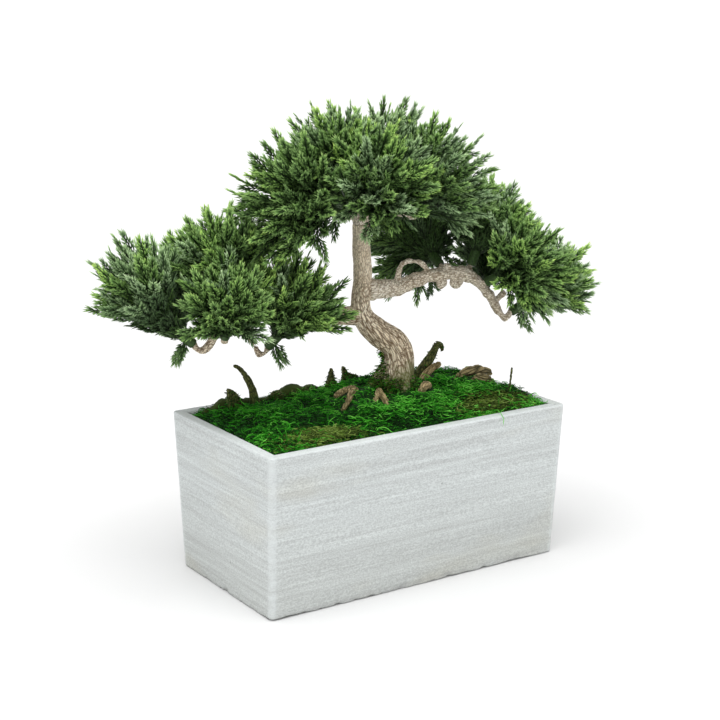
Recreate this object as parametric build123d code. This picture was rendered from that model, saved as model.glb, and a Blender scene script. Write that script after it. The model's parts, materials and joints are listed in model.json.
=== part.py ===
from build123d import *
import os

# Artificial tabletop tree: a moulded cedar in a cast-cement trough.
# Origin at the centre of the trough's underside, +Z up, +X along its long side, front towards -Y.
# All lengths in millimetres.

# --- planter ---
PLANTER_H = 115.0
TOP_L, TOP_W = 246.0, 140.0
FOOT_L, FOOT_W = 240.8, 125.6
WALL_END, WALL_SIDE = 8.0, 10.0
FLOOR_T = 10.0
CORNER_R = 3.0
RIM_FILLET = 1.2

# --- fill ---
FOAM_TOP = 100.0
FILL_GAP = 0.3
MOSS_EDGE_Z = 112.5
MOSS_SEAM = 0.4
ROOT_WELL_R = 20.2

# --- trunk and its steel stake ---
TRUNK_FOOT = (24, 0)
STAKE_R = 3.0
STAKE_LOW, STAKE_HIGH = 46.0, 138.0
FIT = 0.05
TRUNK_TOP_Z = 247.0
TRUNK_POINTS = [
    (24, 0, FOAM_TOP + 0.2), (24, 0, 112), (24, 0, 128), (25, 0.3, 145), (23, 1, 156.5),
    (14.5, 2.6, 164.5), (4, 4.6, 173), (-3, 6, 183), (-3.6, 6.2, 200), (-2.6, 6, 216),
    (-3.6, 6.2, 232), (-3.8, 6.2, 241), (-3.8, 6.2, TRUNK_TOP_Z),
]
TRUNK_RADII = [19, 15.4, 12.6, 11.3, 10.9, 10.2, 9.2, 7.6, 6.6, 6.6, 6.3, 6.0, 5.8]

# --- plugs and pegs ---
CROWN_PLUG_R, CROWN_PLUG_L = 2.9, 12.0
BRANCH_PLUG_R, BRANCH_PLUG_L = 3.0, 8.5
BRANCH_AXIS = Vector(0.977, -0.207, 0).normalized()
BRANCH_SEAT = Vector(-3.6, 6.2, 199.8)
BRANCH_STANDOFF = 7.4
PEG_R, PEG_L = 1.6, 9.5
TWIG_END_R = 2.6
TWIG_RUN = 7.0

# --- foliage sprays: socket, then a cone that opens to a rounded head ---
SOCKET_R, SOCKET_START, SOCKET_END = 3.6, 0.4, 12.0
BORE_END = 11.0
HEAD_RISE = 0.85
SPRAYS = {
    # name: (peg foot), (axis), length, head radius
    "spray_left_outer": ((-124, 31, 171), (-0.73, 0.18, 0.66), 86, 33),
    "spray_left_front": ((-106, 20, 176), (-0.31, -0.71, 0.63), 70, 30),
    "spray_left_back": ((-104, 38, 184), (-0.18, 0.91, 0.36), 73, 30),
    "spray_left_top": ((-94, 29, 192), (-0.10, 0.10, 0.99), 69, 26),
    "spray_left_inner": ((-74, 18, 165), (0.42, -0.50, 0.76), 72, 29),
    "spray_crown_left": ((-16, 8, 254), (-0.94, -0.08, 0.33), 89, 28),
    "spray_crown_front": ((-5, -3, 257), (-0.17, -0.78, 0.60), 78, 26),
    "spray_crown_right": ((10, 3, 256), (0.79, -0.50, 0.36), 87, 27),
    "spray_crown_back": ((0, 16, 256), (0.15, 0.94, 0.32), 83, 31),
    "spray_crown_top_left": ((-11, 8, 264), (-0.35, 0.11, 0.93), 75, 26),
    "spray_crown_top_right": ((5, 7, 264), (0.48, 0.17, 0.86), 75, 27),
    "spray_right_outer": ((112, -18, 175), (0.89, -0.19, 0.42), 74, 30),
    "spray_right_front": ((88, -19, 200), (0.48, -0.75, 0.46), 65, 27),
    "spray_right_top": ((82, -8, 211), (0.48, 0.07, 0.88), 66, 23),
    "spray_right_back": ((62, 1, 212), (0.03, 0.87, 0.50), 72, 30),
    "spray_right_back_outer": ((98, -6, 194), (0.67, 0.64, 0.38), 75, 28),
}

PARTS = {}


def limb(points, radii):
    """A tapered round limb through the points, its sections square to the run."""
    pts = [Vector(*p) for p in points]
    heading = (pts[-1] - pts[0]).normalized()
    side = min((Vector(1, 0, 0), Vector(0, 1, 0), Vector(0, 0, 1)), key=lambda a: abs(heading.dot(a)))
    sections = []
    for i, p in enumerate(pts):
        run = (pts[min(i + 1, len(pts) - 1)] - pts[max(i - 1, 0)]).normalized()
        plane = Plane(origin=p, x_dir=run.cross(side), z_dir=run)
        sections.append(plane * Circle(radii[i]))
    return loft(sections)


def along(foot, axis):
    """The placing of a shape drawn up +Z, moved to start at foot and run along axis."""
    return Plane(origin=Vector(*foot), z_dir=Vector(*axis).normalized())


def rod(foot, axis, radius, start, end):
    """A round bar along axis, from start to end measured from foot."""
    bar = Pos(0, 0, start) * Cylinder(radius, end - start, align=(Align.CENTER, Align.CENTER, Align.MIN))
    return along(foot, axis) * bar


def twig_to(name, route, radii):
    """A twig that follows the route and ends square at the spray's peg, with the peg on it."""
    foot, axis = SPRAYS[name][0], SPRAYS[name][1]
    run = Vector(*axis).normalized()
    bend = Vector(*foot) - run * TWIG_RUN
    points = route + [tuple(bend), foot]
    return limb(points, radii + [TWIG_END_R, TWIG_END_R]) + rod(foot, axis, PEG_R, -2, PEG_L)


def stub_to(name, start, radius):
    """A short straight twig from start to the spray's peg, ball-ended, with the peg on it."""
    foot, axis = SPRAYS[name][0], SPRAYS[name][1]
    knuckle = Vector(*foot) - Vector(*axis).normalized() * TWIG_END_R
    stub = limb([start, tuple(knuckle)], [radius, TWIG_END_R])
    return stub + Pos(*knuckle) * Sphere(TWIG_END_R) + rod(foot, axis, PEG_R, -2, PEG_L)


def spray(name):
    """One moulded spray: a blind socket for the peg, a cone of stems and a rounded head."""
    foot, axis, length, radius = SPRAYS[name]
    cap = radius * HEAD_RISE
    head = length - cap
    ball_r = (radius**2 + cap**2) / (2 * cap)
    upright = (Align.CENTER, Align.CENTER, Align.MIN)
    body = Pos(0, 0, SOCKET_START) * Cylinder(SOCKET_R, SOCKET_END - SOCKET_START, align=upright)
    body += Pos(0, 0, SOCKET_END) * Cone(SOCKET_R, radius, head - SOCKET_END, align=upright)
    ball = Pos(0, 0, length - ball_r) * Sphere(ball_r)
    body += ball & (Pos(0, 0, head) * Box(2 * ball_r, 2 * ball_r, cap + 1, align=upright))
    body -= Cylinder(PEG_R + FIT, BORE_END, align=upright)
    return along(foot, axis) * body


def tub(length_low, width_low, z_low, length_high, width_high, z_high, corner):
    """A tapered block with rounded upright edges."""
    low = Plane.XY.offset(z_low) * RectangleRounded(length_low, width_low, corner)
    high = Plane.XY.offset(z_high) * RectangleRounded(length_high, width_high, corner)
    return loft([low, high])


def inside(z, gap):
    """Length and width of the planter's hollow at height z, less a gap all round."""
    share = z / PLANTER_H
    length = FOOT_L + (TOP_L - FOOT_L) * share - 2 * WALL_END - 2 * gap
    width = FOOT_W + (TOP_W - FOOT_W) * share - 2 * WALL_SIDE - 2 * gap
    return length, width


def planter():
    outer = tub(FOOT_L, FOOT_W, 0, TOP_L, TOP_W, PLANTER_H, CORNER_R)
    hollow = tub(*inside(FLOOR_T, 0), FLOOR_T, *inside(PLANTER_H, 0), PLANTER_H, CORNER_R)
    shell = outer - hollow
    return fillet(shell.faces().sort_by(Axis.Z)[-1].edges(), RIM_FILLET)


def foam_block():
    block = tub(*inside(FLOOR_T, FILL_GAP), FLOOR_T, *inside(FOAM_TOP, FILL_GAP), FOAM_TOP, CORNER_R)
    hole = rod((*TRUNK_FOOT, 0), (0, 0, 1), STAKE_R + FIT, STAKE_LOW - 1, FOAM_TOP + 1)
    return block - hole


# --- the trunk: S-bend, root ridges and the left limb, one moulding ---
LEFT_TWIG_ROOT = (-98, 31, 186)
ROOT_RIDGES = [
    ([(20, 4, 142), (12, 9, 131), (4, 13, 119)], [6, 4.2, 2.6]),
    ([(24, -6, 138), (21, -13, 128), (18, -18, 118)], [6, 4.4, 3.0]),
    ([(30, 4, 138), (38, 10, 128), (47, 14, 119)], [6, 4.2, 2.8]),
]


def root_ridges():
    return [limb(points, radii) for points, radii in ROOT_RIDGES]


def trunk():
    body = limb(TRUNK_POINTS, TRUNK_RADII)
    for ridge in root_ridges():
        body += ridge
    body += limb(
        [(-1, 5.6, 180), (-15.6, 10, 182.3), (-32, 17, 182.5), (-60, 31, 186), (-84, 33, 188), LEFT_TWIG_ROOT],
        [7.2, 6.6, 5.8, 5, 4.2, 3.6],
    )
    body += twig_to("spray_left_outer", [LEFT_TWIG_ROOT, (-109, 29, 176)], [3.4, 3.0])
    body += twig_to("spray_left_front", [LEFT_TWIG_ROOT], [3.2])
    body += twig_to("spray_left_back", [LEFT_TWIG_ROOT], [3.2])
    body += twig_to("spray_left_top", [(-90, 32, 184)], [3.2])
    body += twig_to("spray_left_inner", [(-90, 32, 187), (-84.5, 25, 174)], [3.2, 3.0])
    body -= rod((*TRUNK_FOOT, 0), (0, 0, 1), STAKE_R + FIT, FOAM_TOP - 1, STAKE_HIGH + 1)
    body -= rod(TRUNK_POINTS[-1], (0, 0, 1), CROWN_PLUG_R + FIT, -CROWN_PLUG_L - 1, 1)
    body -= rod(BRANCH_SEAT, BRANCH_AXIS, BRANCH_PLUG_R + FIT, -2.5, BRANCH_STANDOFF + 2)
    return body


def trunk_stake():
    return rod((*TRUNK_FOOT, 0), (0, 0, 1), STAKE_R, STAKE_LOW, STAKE_HIGH)


# --- crown branch: plugs into the trunk's top and carries six pegs ---
CROWN_SEAT = (-3.8, 6.2, TRUNK_TOP_Z + 0.2)
CROWN_HUB = (-3.8, 6.2, 253)
LOW_TWIG = [(0, 6.5, 254.5), (12, 7, 251.5), (26, 7, 253), (34, 6, 250.5), (43, 6, 248)]


def crown_branch():
    body = limb([CROWN_SEAT, CROWN_HUB, (-3.8, 6.2, 260)], [5.7, 6.4, 4.2])
    body += rod(CROWN_SEAT, (0, 0, 1), CROWN_PLUG_R, -CROWN_PLUG_L, 2)
    for name in SPRAYS:
        if name.startswith("spray_crown"):
            body += stub_to(name, CROWN_HUB, 3.2)
    return body + limb(LOW_TWIG, [3.4, 3.0, 2.6, 2.4, 1.6])


# --- right branch: plugs into the side of the trunk and turns about its plug ---
BRANCH_POINTS = [
    tuple(BRANCH_SEAT + BRANCH_AXIS * BRANCH_STANDOFF), (11, 3.2, 199.8), (22, 1, 199.8), (33, -1.5, 202.5),
    (44.5, -4, 206), (56, -6.4, 208), (67.6, -8.8, 208), (79, -11.2, 204.4), (88.5, -13.4, 197),
    (95.5, -15, 188), (101, -16, 179.5),
]
BRANCH_RADII = [7.0, 7.0, 6.3, 5.2, 4.7, 5.0, 4.8, 4.4, 4.0, 3.3, 2.8]
BRANCH_KNOBS = [((57, -6.6, 201), 4.6), ((68.5, -9, 200.5), 4.6), ((61.5, -7.8, 212), 3.4)]
LOOP_TWIG = [(26, 0.4, 202), (24.5, 0.4, 212), (30, -0.7, 218), (38, -2.3, 218), (44, -3.8, 214), (49, -4.8, 208)]
SPRIG_FOOT, SPRIG_AXIS = (47.5, -4.6, 202.6), (0.05, 0, -1)
SPRIG_STEM_R = 1.2
RIGHT_TWIG_ROOTS = {
    "spray_right_front": (82, -12, 202.5),
    "spray_right_top": (77, -10.6, 204.8),
    "spray_right_back": (62, -7.4, 208),
    "spray_right_back_outer": (92.5, -14, 192.5),
}


def right_branch():
    body = twig_to("spray_right_outer", BRANCH_POINTS, BRANCH_RADII)
    body += rod(BRANCH_SEAT, BRANCH_AXIS, BRANCH_PLUG_R, -1.5, BRANCH_STANDOFF + 1)
    for centre, radius in BRANCH_KNOBS:
        body += Pos(*centre) * Sphere(radius)
    body += limb(LOOP_TWIG, [2.2, 1.9, 1.8, 1.8, 1.8, 2.0])
    body += limb([(98, -15.5, 184.5), (104, -16.6, 187.5), (107, -17, 190)], [2.4, 1.9, 1.5])
    for name, start in RIGHT_TWIG_ROOTS.items():
        body += stub_to(name, start, 3.0)
    return body - rod(SPRIG_FOOT, SPRIG_AXIS, SPRIG_STEM_R + FIT, -3, 9)


def hanging_sprig():
    stem = rod(SPRIG_FOOT, SPRIG_AXIS, SPRIG_STEM_R, -2.5, 6)
    tuft = Pos(0, 0, 4.5) * Cone(1.6, 4.6, 9, align=(Align.CENTER, Align.CENTER, Align.MIN))
    return stem + along(SPRIG_FOOT, SPRIG_AXIS) * tuft


# --- surface roots, driftwood and bark, all set in the moss ---
GROUND_LIMBS = {
    "root_fork": [
        ([(-2, 16, 117), (-5, 16, 122), (-11, 17, 121.5), (-18, 19, 117.5)], [3.0, 2.8, 2.4, 1.7]),
        ([(-6, 14.5, 121), (-15, 4, 119.5), (-27, -6, 114.5)], [2.4, 2.2, 1.6]),
    ],
    "root_vee": [
        ([(3.5, -7, 123), (0, -10, 121.5), (-5, -13.5, 116.5)], [2.4, 2.3, 1.7]),
        ([(2.4, -8.6, 122.4), (1.5, -14, 120.5), (-1, -23, 115)], [2.3, 2.2, 1.7]),
    ],
    "root_stub": [([(45, -8, 121), (40, -12, 123.5), (32, -17, 118.5)], [3.0, 3.4, 2.2])],
    "root_back": [([(53, 14, 116), (59, 16, 124.5), (68, 18, 130), (76, 20, 132)], [3.2, 3.0, 2.6, 1.7])],
    "driftwood_upper": [
        ([(78, 4, 115), (84, 4, 124.5), (94, 3, 128.5), (104, 3, 127), (112, 3, 124)], [2.6, 3.2, 3.4, 2.8, 2.0]),
    ],
    "driftwood_lower": [([(88, -5, 118), (95, -5.5, 123), (102, -6, 121), (108, -6, 113)], [2.4, 2.8, 2.6, 2.0])],
    "bark_horn": [
        ([(-69, 45, 113), (-71, 45, 126), (-75, 45, 137), (-80, 45, 144), (-86, 45, 148)], [4.4, 3.2, 2.4, 1.8, 1.0]),
    ],
    "bark_snag": [
        ([(56, 27, 115), (62, 26, 125), (68, 25, 134), (74, 25, 141), (77, 25, 147)], [5.0, 4.6, 4.0, 3.0, 2.2]),
        ([(77, 25, 147), (80, 25, 146), (82, 25, 141)], [2.2, 2.0, 1.2]),
    ],
    "bark_cone": [([(-4, 46, 113), (-4, 46, 124), (-4, 46, 135)], [6.4, 4.0, 0.9])],
    "upright_twig": [([(103.5, -30, 113), (104, -30, 124), (105.5, -30, 136)], [1.5, 1.2, 0.6])],
}
BARK_CHIPS = [((-50, 47, 119), 5.5), ((-36, 49, 118.5), 4.2), ((-22, 48, 119), 4.8)]
SHARD_OUTLINE = [(-94, 110), (-82, 110), (-82, 124), (-89, 131), (-93, 133)]
FIN_OUTLINE = [(6, 110), (24, 110), (21, 126), (12, 129), (8, 134)]
SLAB_T = 3.0


def ground_limbs(name):
    body = None
    for points, radii in GROUND_LIMBS[name]:
        piece = limb(points, radii)
        body = piece if body is None else body + piece
    return body


def upright_slab(outline, y):
    """A flat chip of bark standing on edge, drawn in X and Z."""
    face = Plane.XZ.offset(-y) * make_face(Polyline(*outline, close=True))
    return extrude(face, SLAB_T)


def bark_chips():
    return [Pos(*centre) * Sphere(radius) for centre, radius in BARK_CHIPS]


# --- moss: three mats that fill the planter's mouth, mounded round the trunk ---
MOUNDS = {
    # name: x from, x to, then (centre, rise above the edge, radius at the edge) of each mound
    "moss_left": (-113.5, -41, [((-76, 8), 7.5, 52), ((-82, -26), 5, 34)]),
    "moss_middle": (-41, 57, [((22, 2), 17.5, 62), ((-16, 22), 9, 42)]),
    "moss_right": (57, 113.5, [((64, 6), 14.5, 60), ((88, -20), 8, 40)]),
}
OLIVE_TUFTS = {
    "olive_moss_front": ((-68, -46, 117), (26, 10, 4.5)),
    "olive_moss_right": ((74, -44, 117.5), (24, 11, 4.5)),
}


def mound(centre, rise, reach):
    """A cap of a sphere that rises from the moss's edge height."""
    radius = (reach**2 + rise**2) / (2 * rise)
    ball = Pos(*centre, MOSS_EDGE_Z + rise - radius) * Sphere(radius)
    return ball & Pos(*centre, MOSS_EDGE_Z - 1) * Box(400, 400, 60, align=(Align.CENTER, Align.CENTER, Align.MIN))


def olive_tuft(name):
    centre, half = OLIVE_TUFTS[name]
    ball = scale(Sphere(1), by=half)
    return Pos(*centre) * ball


def moss(name, settled):
    x_from, x_to, mounds = MOUNDS[name]
    low, high = inside(FOAM_TOP, FILL_GAP + 0.2), inside(PLANTER_H, FILL_GAP + 0.2)
    upright = (Align.CENTER, Align.CENTER, Align.MIN)
    body = Pos(0, 0, FOAM_TOP + 0.1) * Box(400, 400, MOSS_EDGE_Z - FOAM_TOP, align=upright)
    for centre, rise, reach in mounds:
        body += mound(centre, rise, reach)
    body = body & tub(*low, FOAM_TOP, *(side + 4 for side in high), PLANTER_H + 30, CORNER_R)
    middle, span = (x_from + x_to) / 2, x_to - x_from - MOSS_SEAM
    body = body & Pos(middle, 0, FOAM_TOP) * Box(span, 400, 60, align=upright)
    body -= rod((*TRUNK_FOOT, 0), (0, 0, 1), ROOT_WELL_R, FOAM_TOP - 1, PLANTER_H + 40)
    for piece in settled:
        body -= piece
    return body


def build():
    PARTS["planter"] = planter()
    PARTS["foam_block"] = foam_block()
    PARTS["trunk_stake"] = trunk_stake()
    PARTS["trunk"] = trunk()
    PARTS["crown_branch"] = crown_branch()
    PARTS["right_branch"] = right_branch()
    PARTS["hanging_sprig"] = hanging_sprig()
    for name in SPRAYS:
        PARTS[name] = spray(name)

    settled = []
    for name in GROUND_LIMBS:
        PARTS[name] = ground_limbs(name)
        settled.append(PARTS[name])
    PARTS["bark_shard"] = upright_slab(SHARD_OUTLINE, 43)
    PARTS["bark_fin"] = upright_slab(FIN_OUTLINE, 50)
    settled += [PARTS["bark_shard"], PARTS["bark_fin"]] + bark_chips()
    PARTS["bark_chips"] = Compound(children=bark_chips())
    for name in OLIVE_TUFTS:
        PARTS[name] = olive_tuft(name)
        settled.append(PARTS[name])
    for name in MOUNDS:
        PARTS[name] = moss(name, settled + root_ridges())


build()
os.makedirs("parts", exist_ok=True)
for node, shape in PARTS.items():
    export_step(shape, f"parts/{node}.step")
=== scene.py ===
import json
import math

import bmesh
import bpy
import numpy as np
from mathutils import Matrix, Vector, bvhtree, kdtree, noise


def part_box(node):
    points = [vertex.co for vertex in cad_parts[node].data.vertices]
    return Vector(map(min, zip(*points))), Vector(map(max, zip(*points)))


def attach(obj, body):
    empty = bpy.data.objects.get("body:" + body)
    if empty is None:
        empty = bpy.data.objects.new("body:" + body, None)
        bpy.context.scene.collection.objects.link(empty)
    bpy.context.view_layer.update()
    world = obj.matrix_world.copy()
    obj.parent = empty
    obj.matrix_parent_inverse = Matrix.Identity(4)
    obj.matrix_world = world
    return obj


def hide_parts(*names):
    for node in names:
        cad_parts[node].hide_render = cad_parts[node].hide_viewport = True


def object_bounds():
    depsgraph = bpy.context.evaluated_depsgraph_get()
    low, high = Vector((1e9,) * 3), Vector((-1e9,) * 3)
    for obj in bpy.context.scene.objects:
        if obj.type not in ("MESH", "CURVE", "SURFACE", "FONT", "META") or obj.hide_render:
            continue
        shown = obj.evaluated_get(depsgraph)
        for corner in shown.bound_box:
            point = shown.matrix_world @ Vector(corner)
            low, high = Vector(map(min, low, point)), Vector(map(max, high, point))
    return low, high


# The looks of an artificial tabletop tree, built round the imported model. Metres unless a name says mm.

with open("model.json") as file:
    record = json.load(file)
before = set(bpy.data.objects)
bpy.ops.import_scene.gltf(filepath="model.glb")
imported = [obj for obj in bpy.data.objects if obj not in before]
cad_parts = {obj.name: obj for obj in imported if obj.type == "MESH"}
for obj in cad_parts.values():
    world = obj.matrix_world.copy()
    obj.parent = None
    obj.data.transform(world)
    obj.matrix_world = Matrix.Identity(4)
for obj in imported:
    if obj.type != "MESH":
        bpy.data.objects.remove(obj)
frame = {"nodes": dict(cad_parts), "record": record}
CAD_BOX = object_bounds()
MM = 0.001
X, Y, Z = 0, 1, 2
NODES = frame["nodes"]
JOINTS = {j["child"]: j for j in frame["record"]["behaviour"]["joints"]}
BODY_OF = {n: b for b, ns in frame["record"]["behaviour"]["bodies"].items() for n in ns}
SPRAYS = sorted(n for n in NODES if n.startswith("spray_"))
UP = np.array([0.0, 0.0, 1.0])
PLANTER_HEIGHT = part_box("planter")[1].z
# The moss meets the planter's wall this far below the rim, and stands higher round the trunk.
GROUND = PLANTER_HEIGHT - MM * 2.5
FOOT_GROUND = GROUND + MM * 13.5
# The turn from one leaf to the next in a spiral, and a direction that no stem runs along.
GOLDEN_TURN = 2.39996
SKEW = (0.31, 0.17, 0.94)


# ---------------------------------------------------------------- mesh helpers

def unit(v):
    return v / np.maximum(np.linalg.norm(v, axis=-1, keepdims=True), 1e-12)


def mesh_object(name, verts, quads, tris):
    """A smooth mesh object from arrays of vertices, quads and triangles."""
    mesh = bpy.data.meshes.new(name)
    loops = np.concatenate([quads.ravel(), tris.ravel()]).astype(np.int32)
    sizes = np.concatenate([np.full(len(quads), 4), np.full(len(tris), 3)]).astype(np.int32)
    starts = np.concatenate([[0], np.cumsum(sizes)[:-1]]).astype(np.int32)
    mesh.vertices.add(len(verts))
    mesh.vertices.foreach_set("co", np.asarray(verts, np.float32).ravel())
    mesh.loops.add(len(loops))
    mesh.loops.foreach_set("vertex_index", loops)
    mesh.polygons.add(len(sizes))
    mesh.polygons.foreach_set("loop_start", starts)
    mesh.polygons.foreach_set("loop_total", sizes)
    mesh.polygons.foreach_set("use_smooth", np.full(len(sizes), True))
    mesh.update(calc_edges=True)
    mesh.validate()
    obj = bpy.data.objects.new(name, mesh)
    bpy.context.scene.collection.objects.link(obj)
    return obj


def point_values(obj, name, values):
    """A float for each vertex, read by a material."""
    layer = obj.data.attributes.new(name, "FLOAT", "POINT")
    layer.data.foreach_set("value", np.asarray(values, np.float32))


def vectors(items, name):
    flat = np.empty(len(items) * 3)
    items.foreach_get(name, flat)
    return flat.reshape(-1, 3)


def coordinates(obj):
    return vectors(obj.data.vertices, "co")


def normals(obj):
    return vectors(obj.data.vertex_normals, "vector")


def set_coordinates(obj, co):
    obj.data.vertices.foreach_set("co", np.asarray(co, np.float32).ravel())
    obj.data.update()


def placed(obj, node, material):
    """Gives a piece its material, and makes it ride and stand for its CAD node."""
    obj.data.materials.clear()
    obj.data.materials.append(material)
    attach(obj, BODY_OF[node])
    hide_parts(node)
    return obj


def remeshed_copy(node, voxel, name):
    """A copy of a CAD node's solid, rebuilt as an even skin of small quads."""
    source = NODES[node].data.copy()
    obj = bpy.data.objects.new(name, source)
    bpy.context.scene.collection.objects.link(obj)
    bm = bmesh.new()
    bm.from_mesh(source)
    bmesh.ops.remove_doubles(bm, verts=bm.verts, dist=0.00001)
    bm.to_mesh(source)
    bm.free()
    modifier = obj.modifiers.new("even", "REMESH")
    modifier.mode = "VOXEL"
    modifier.voxel_size = voxel
    modifier.use_smooth_shade = True
    bake_modifiers(obj)
    return obj


def bake_modifiers(obj):
    """Replaces the object's mesh by what its modifiers make of it."""
    graph = bpy.context.evaluated_depsgraph_get()
    result = bpy.data.meshes.new_from_object(obj.evaluated_get(graph))
    obj.modifiers.clear()
    obj.data = result


def relax(obj, rounds):
    """Smooths the skin a little."""
    bm = bmesh.new()
    bm.from_mesh(obj.data)
    for _ in range(rounds):
        bmesh.ops.smooth_vert(bm, verts=bm.verts, factor=0.5, use_axis_x=True, use_axis_y=True, use_axis_z=True)
    bm.to_mesh(obj.data)
    bm.free()


def noise_at(points, scale, seed=0.0):
    """Smooth noise from -1 to 1 at each point."""
    shifted = points * scale + seed * 17.31
    return np.array([noise.noise(Vector(p)) for p in shifted])


# ---------------------------------------------------------------- node helpers

def new_material(name, roughness=0.6, specular=0.5):
    mat = bpy.data.materials.new(name)
    mat.use_nodes = True
    shader = mat.node_tree.nodes["Principled BSDF"]
    shader.inputs["Roughness"].default_value = roughness
    shader.inputs["Specular IOR Level"].default_value = specular
    return mat, shader


def node(mat, kind, **values):
    n = mat.node_tree.nodes.new(kind)
    for key, value in values.items():
        if hasattr(n, key):
            setattr(n, key, value)
        else:
            n.inputs[key].default_value = value
    return n


def link(mat, out, into):
    mat.node_tree.links.new(out, into)


def attribute(mat, name):
    return node(mat, "ShaderNodeAttribute", attribute_name=name).outputs["Fac"]


def ramp(mat, factor, stops):
    """Colours at places from 0 to 1 along factor."""
    n = node(mat, "ShaderNodeValToRGB")
    elements = n.color_ramp.elements
    while len(elements) < len(stops):
        elements.new(0.5)
    for element, (place, colour) in zip(elements, stops):
        element.position = place
        element.color = (*colour, 1)
    link(mat, factor, n.inputs["Fac"])
    return n.outputs["Color"]


def blend_colour(mat, factor, a, b, mode="MIX"):
    n = mat.node_tree.nodes.new("ShaderNodeMix")
    n.data_type = "RGBA"
    n.blend_type = mode
    for value, socket in ((factor, n.inputs[0]), (a, n.inputs[6]), (b, n.inputs[7])):
        if isinstance(value, bpy.types.NodeSocket):
            link(mat, value, socket)
        elif isinstance(value, tuple):
            socket.default_value = (*value, 1)
        else:
            socket.default_value = value
    return n.outputs[2]


def times(mat, a, b):
    """One colour multiplied by another."""
    return blend_colour(mat, 1.0, a, b, "MULTIPLY")


def maths(mat, operation, a, b=0.0, clamp=False):
    n = node(mat, "ShaderNodeMath", operation=operation, use_clamp=clamp)
    for value, socket in ((a, n.inputs[0]), (b, n.inputs[1])):
        if isinstance(value, bpy.types.NodeSocket):
            link(mat, value, socket)
        else:
            socket.default_value = value
    return n.outputs[0]


def weighted(mat, a, b, share=0.6):
    """The sum of two values, the first counting for its share and the second for the rest."""
    return maths(mat, "ADD", maths(mat, "MULTIPLY", a, share), maths(mat, "MULTIPLY", b, 1 - share))


def object_noise(mat, scale, detail=4.0, stretch=(1, 1, 1), roughness=0.55, distortion=0.0):
    """Noise in the object's own coordinates, finer along the axes with more stretch."""
    place = node(mat, "ShaderNodeTexCoord")
    mapping = node(mat, "ShaderNodeMapping", Scale=stretch)
    texture = node(mat, "ShaderNodeTexNoise", Scale=scale, Detail=detail, Roughness=roughness, Distortion=distortion)
    link(mat, place.outputs["Object"], mapping.inputs["Vector"])
    link(mat, mapping.outputs["Vector"], texture.inputs["Vector"])
    return texture.outputs["Fac"]


def bump(mat, shader, height, strength, distance):
    n = node(mat, "ShaderNodeBump", Strength=strength, Distance=distance)
    link(mat, height, n.inputs["Height"])
    link(mat, n.outputs["Normal"], shader.inputs["Normal"])


# ---------------------------------------------------------------- materials

def foliage_material():
    """Moulded plastic needles: deep green, grey-green frosted or lime, paler towards their tips, with painted shade
    that darkens each finger's root and each frond's base.
    """
    mat, shader = new_material("cedar_foliage", roughness=0.55, specular=0.28)
    tone = attribute(mat, "tone")
    deep = ramp(mat, tone, [
        (0.0, (0.008, 0.018, 0.004)), (0.26, (0.060, 0.130, 0.028)), (0.50, (0.240, 0.430, 0.105)),
        (0.76, (0.470, 0.730, 0.170)), (1.0, (0.80, 1.0, 0.20)),
    ])
    frosted = ramp(mat, tone, [
        (0.0, (0.010, 0.020, 0.007)), (0.28, (0.130, 0.225, 0.095)), (0.60, (0.500, 0.690, 0.370)),
        (1.0, (0.92, 1.0, 0.76)),
    ])
    colour = blend_colour(mat, attribute(mat, "frost"), deep, frosted)
    grain = object_noise(mat, 900.0, detail=3.0)
    speckle = ramp(mat, grain, [(0.35, (0.62, 0.62, 0.62)), (0.65, (1.35, 1.35, 1.35))])
    colour = times(mat, colour, speckle)
    link(mat, colour, shader.inputs["Base Color"])
    bump(mat, shader, grain, 0.35, 0.0003)
    return mat


def bark_material(name, light, dark, moss_tint=(0.16, 0.17, 0.045)):
    """Moulded bark: the groove value darkens it, and the mossy value stains it green."""
    mat, shader = new_material(name, roughness=0.72, specular=0.25)
    speck = object_noise(mat, 900.0, detail=3.0, roughness=0.7)
    patch = object_noise(mat, 45.0, detail=3.0)
    base = ramp(mat, speck, [
        (0.30, tuple(0.60 * c for c in light)), (0.5, light), (0.72, tuple(min(1.0, 1.25 * c) for c in light)),
    ])
    warm = ramp(mat, patch, [(0.35, (0.92, 0.87, 0.81)), (0.65, (1.06, 1.05, 1.03))])
    base = times(mat, base, warm)
    colour = blend_colour(mat, attribute(mat, "groove"), base, dark)
    colour = blend_colour(mat, attribute(mat, "mossy"), colour, moss_tint)
    link(mat, colour, shader.inputs["Base Color"])
    bump(mat, shader, speck, 0.5, 0.0005)
    return mat


def moss_material(name, stops):
    """Curly moss: each strand has its own tone, darker towards its root."""
    mat, shader = new_material(name, roughness=0.7, specular=0.2)
    tone = attribute(mat, "tone")
    grain = object_noise(mat, 240.0)
    shifted = maths(mat, "ADD", tone, maths(mat, "MULTIPLY", maths(mat, "SUBTRACT", grain, 0.5), 0.25), clamp=True)
    link(mat, ramp(mat, shifted, stops), shader.inputs["Base Color"])
    bump(mat, shader, object_noise(mat, 700.0), 0.3, 0.0003)
    return mat


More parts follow.
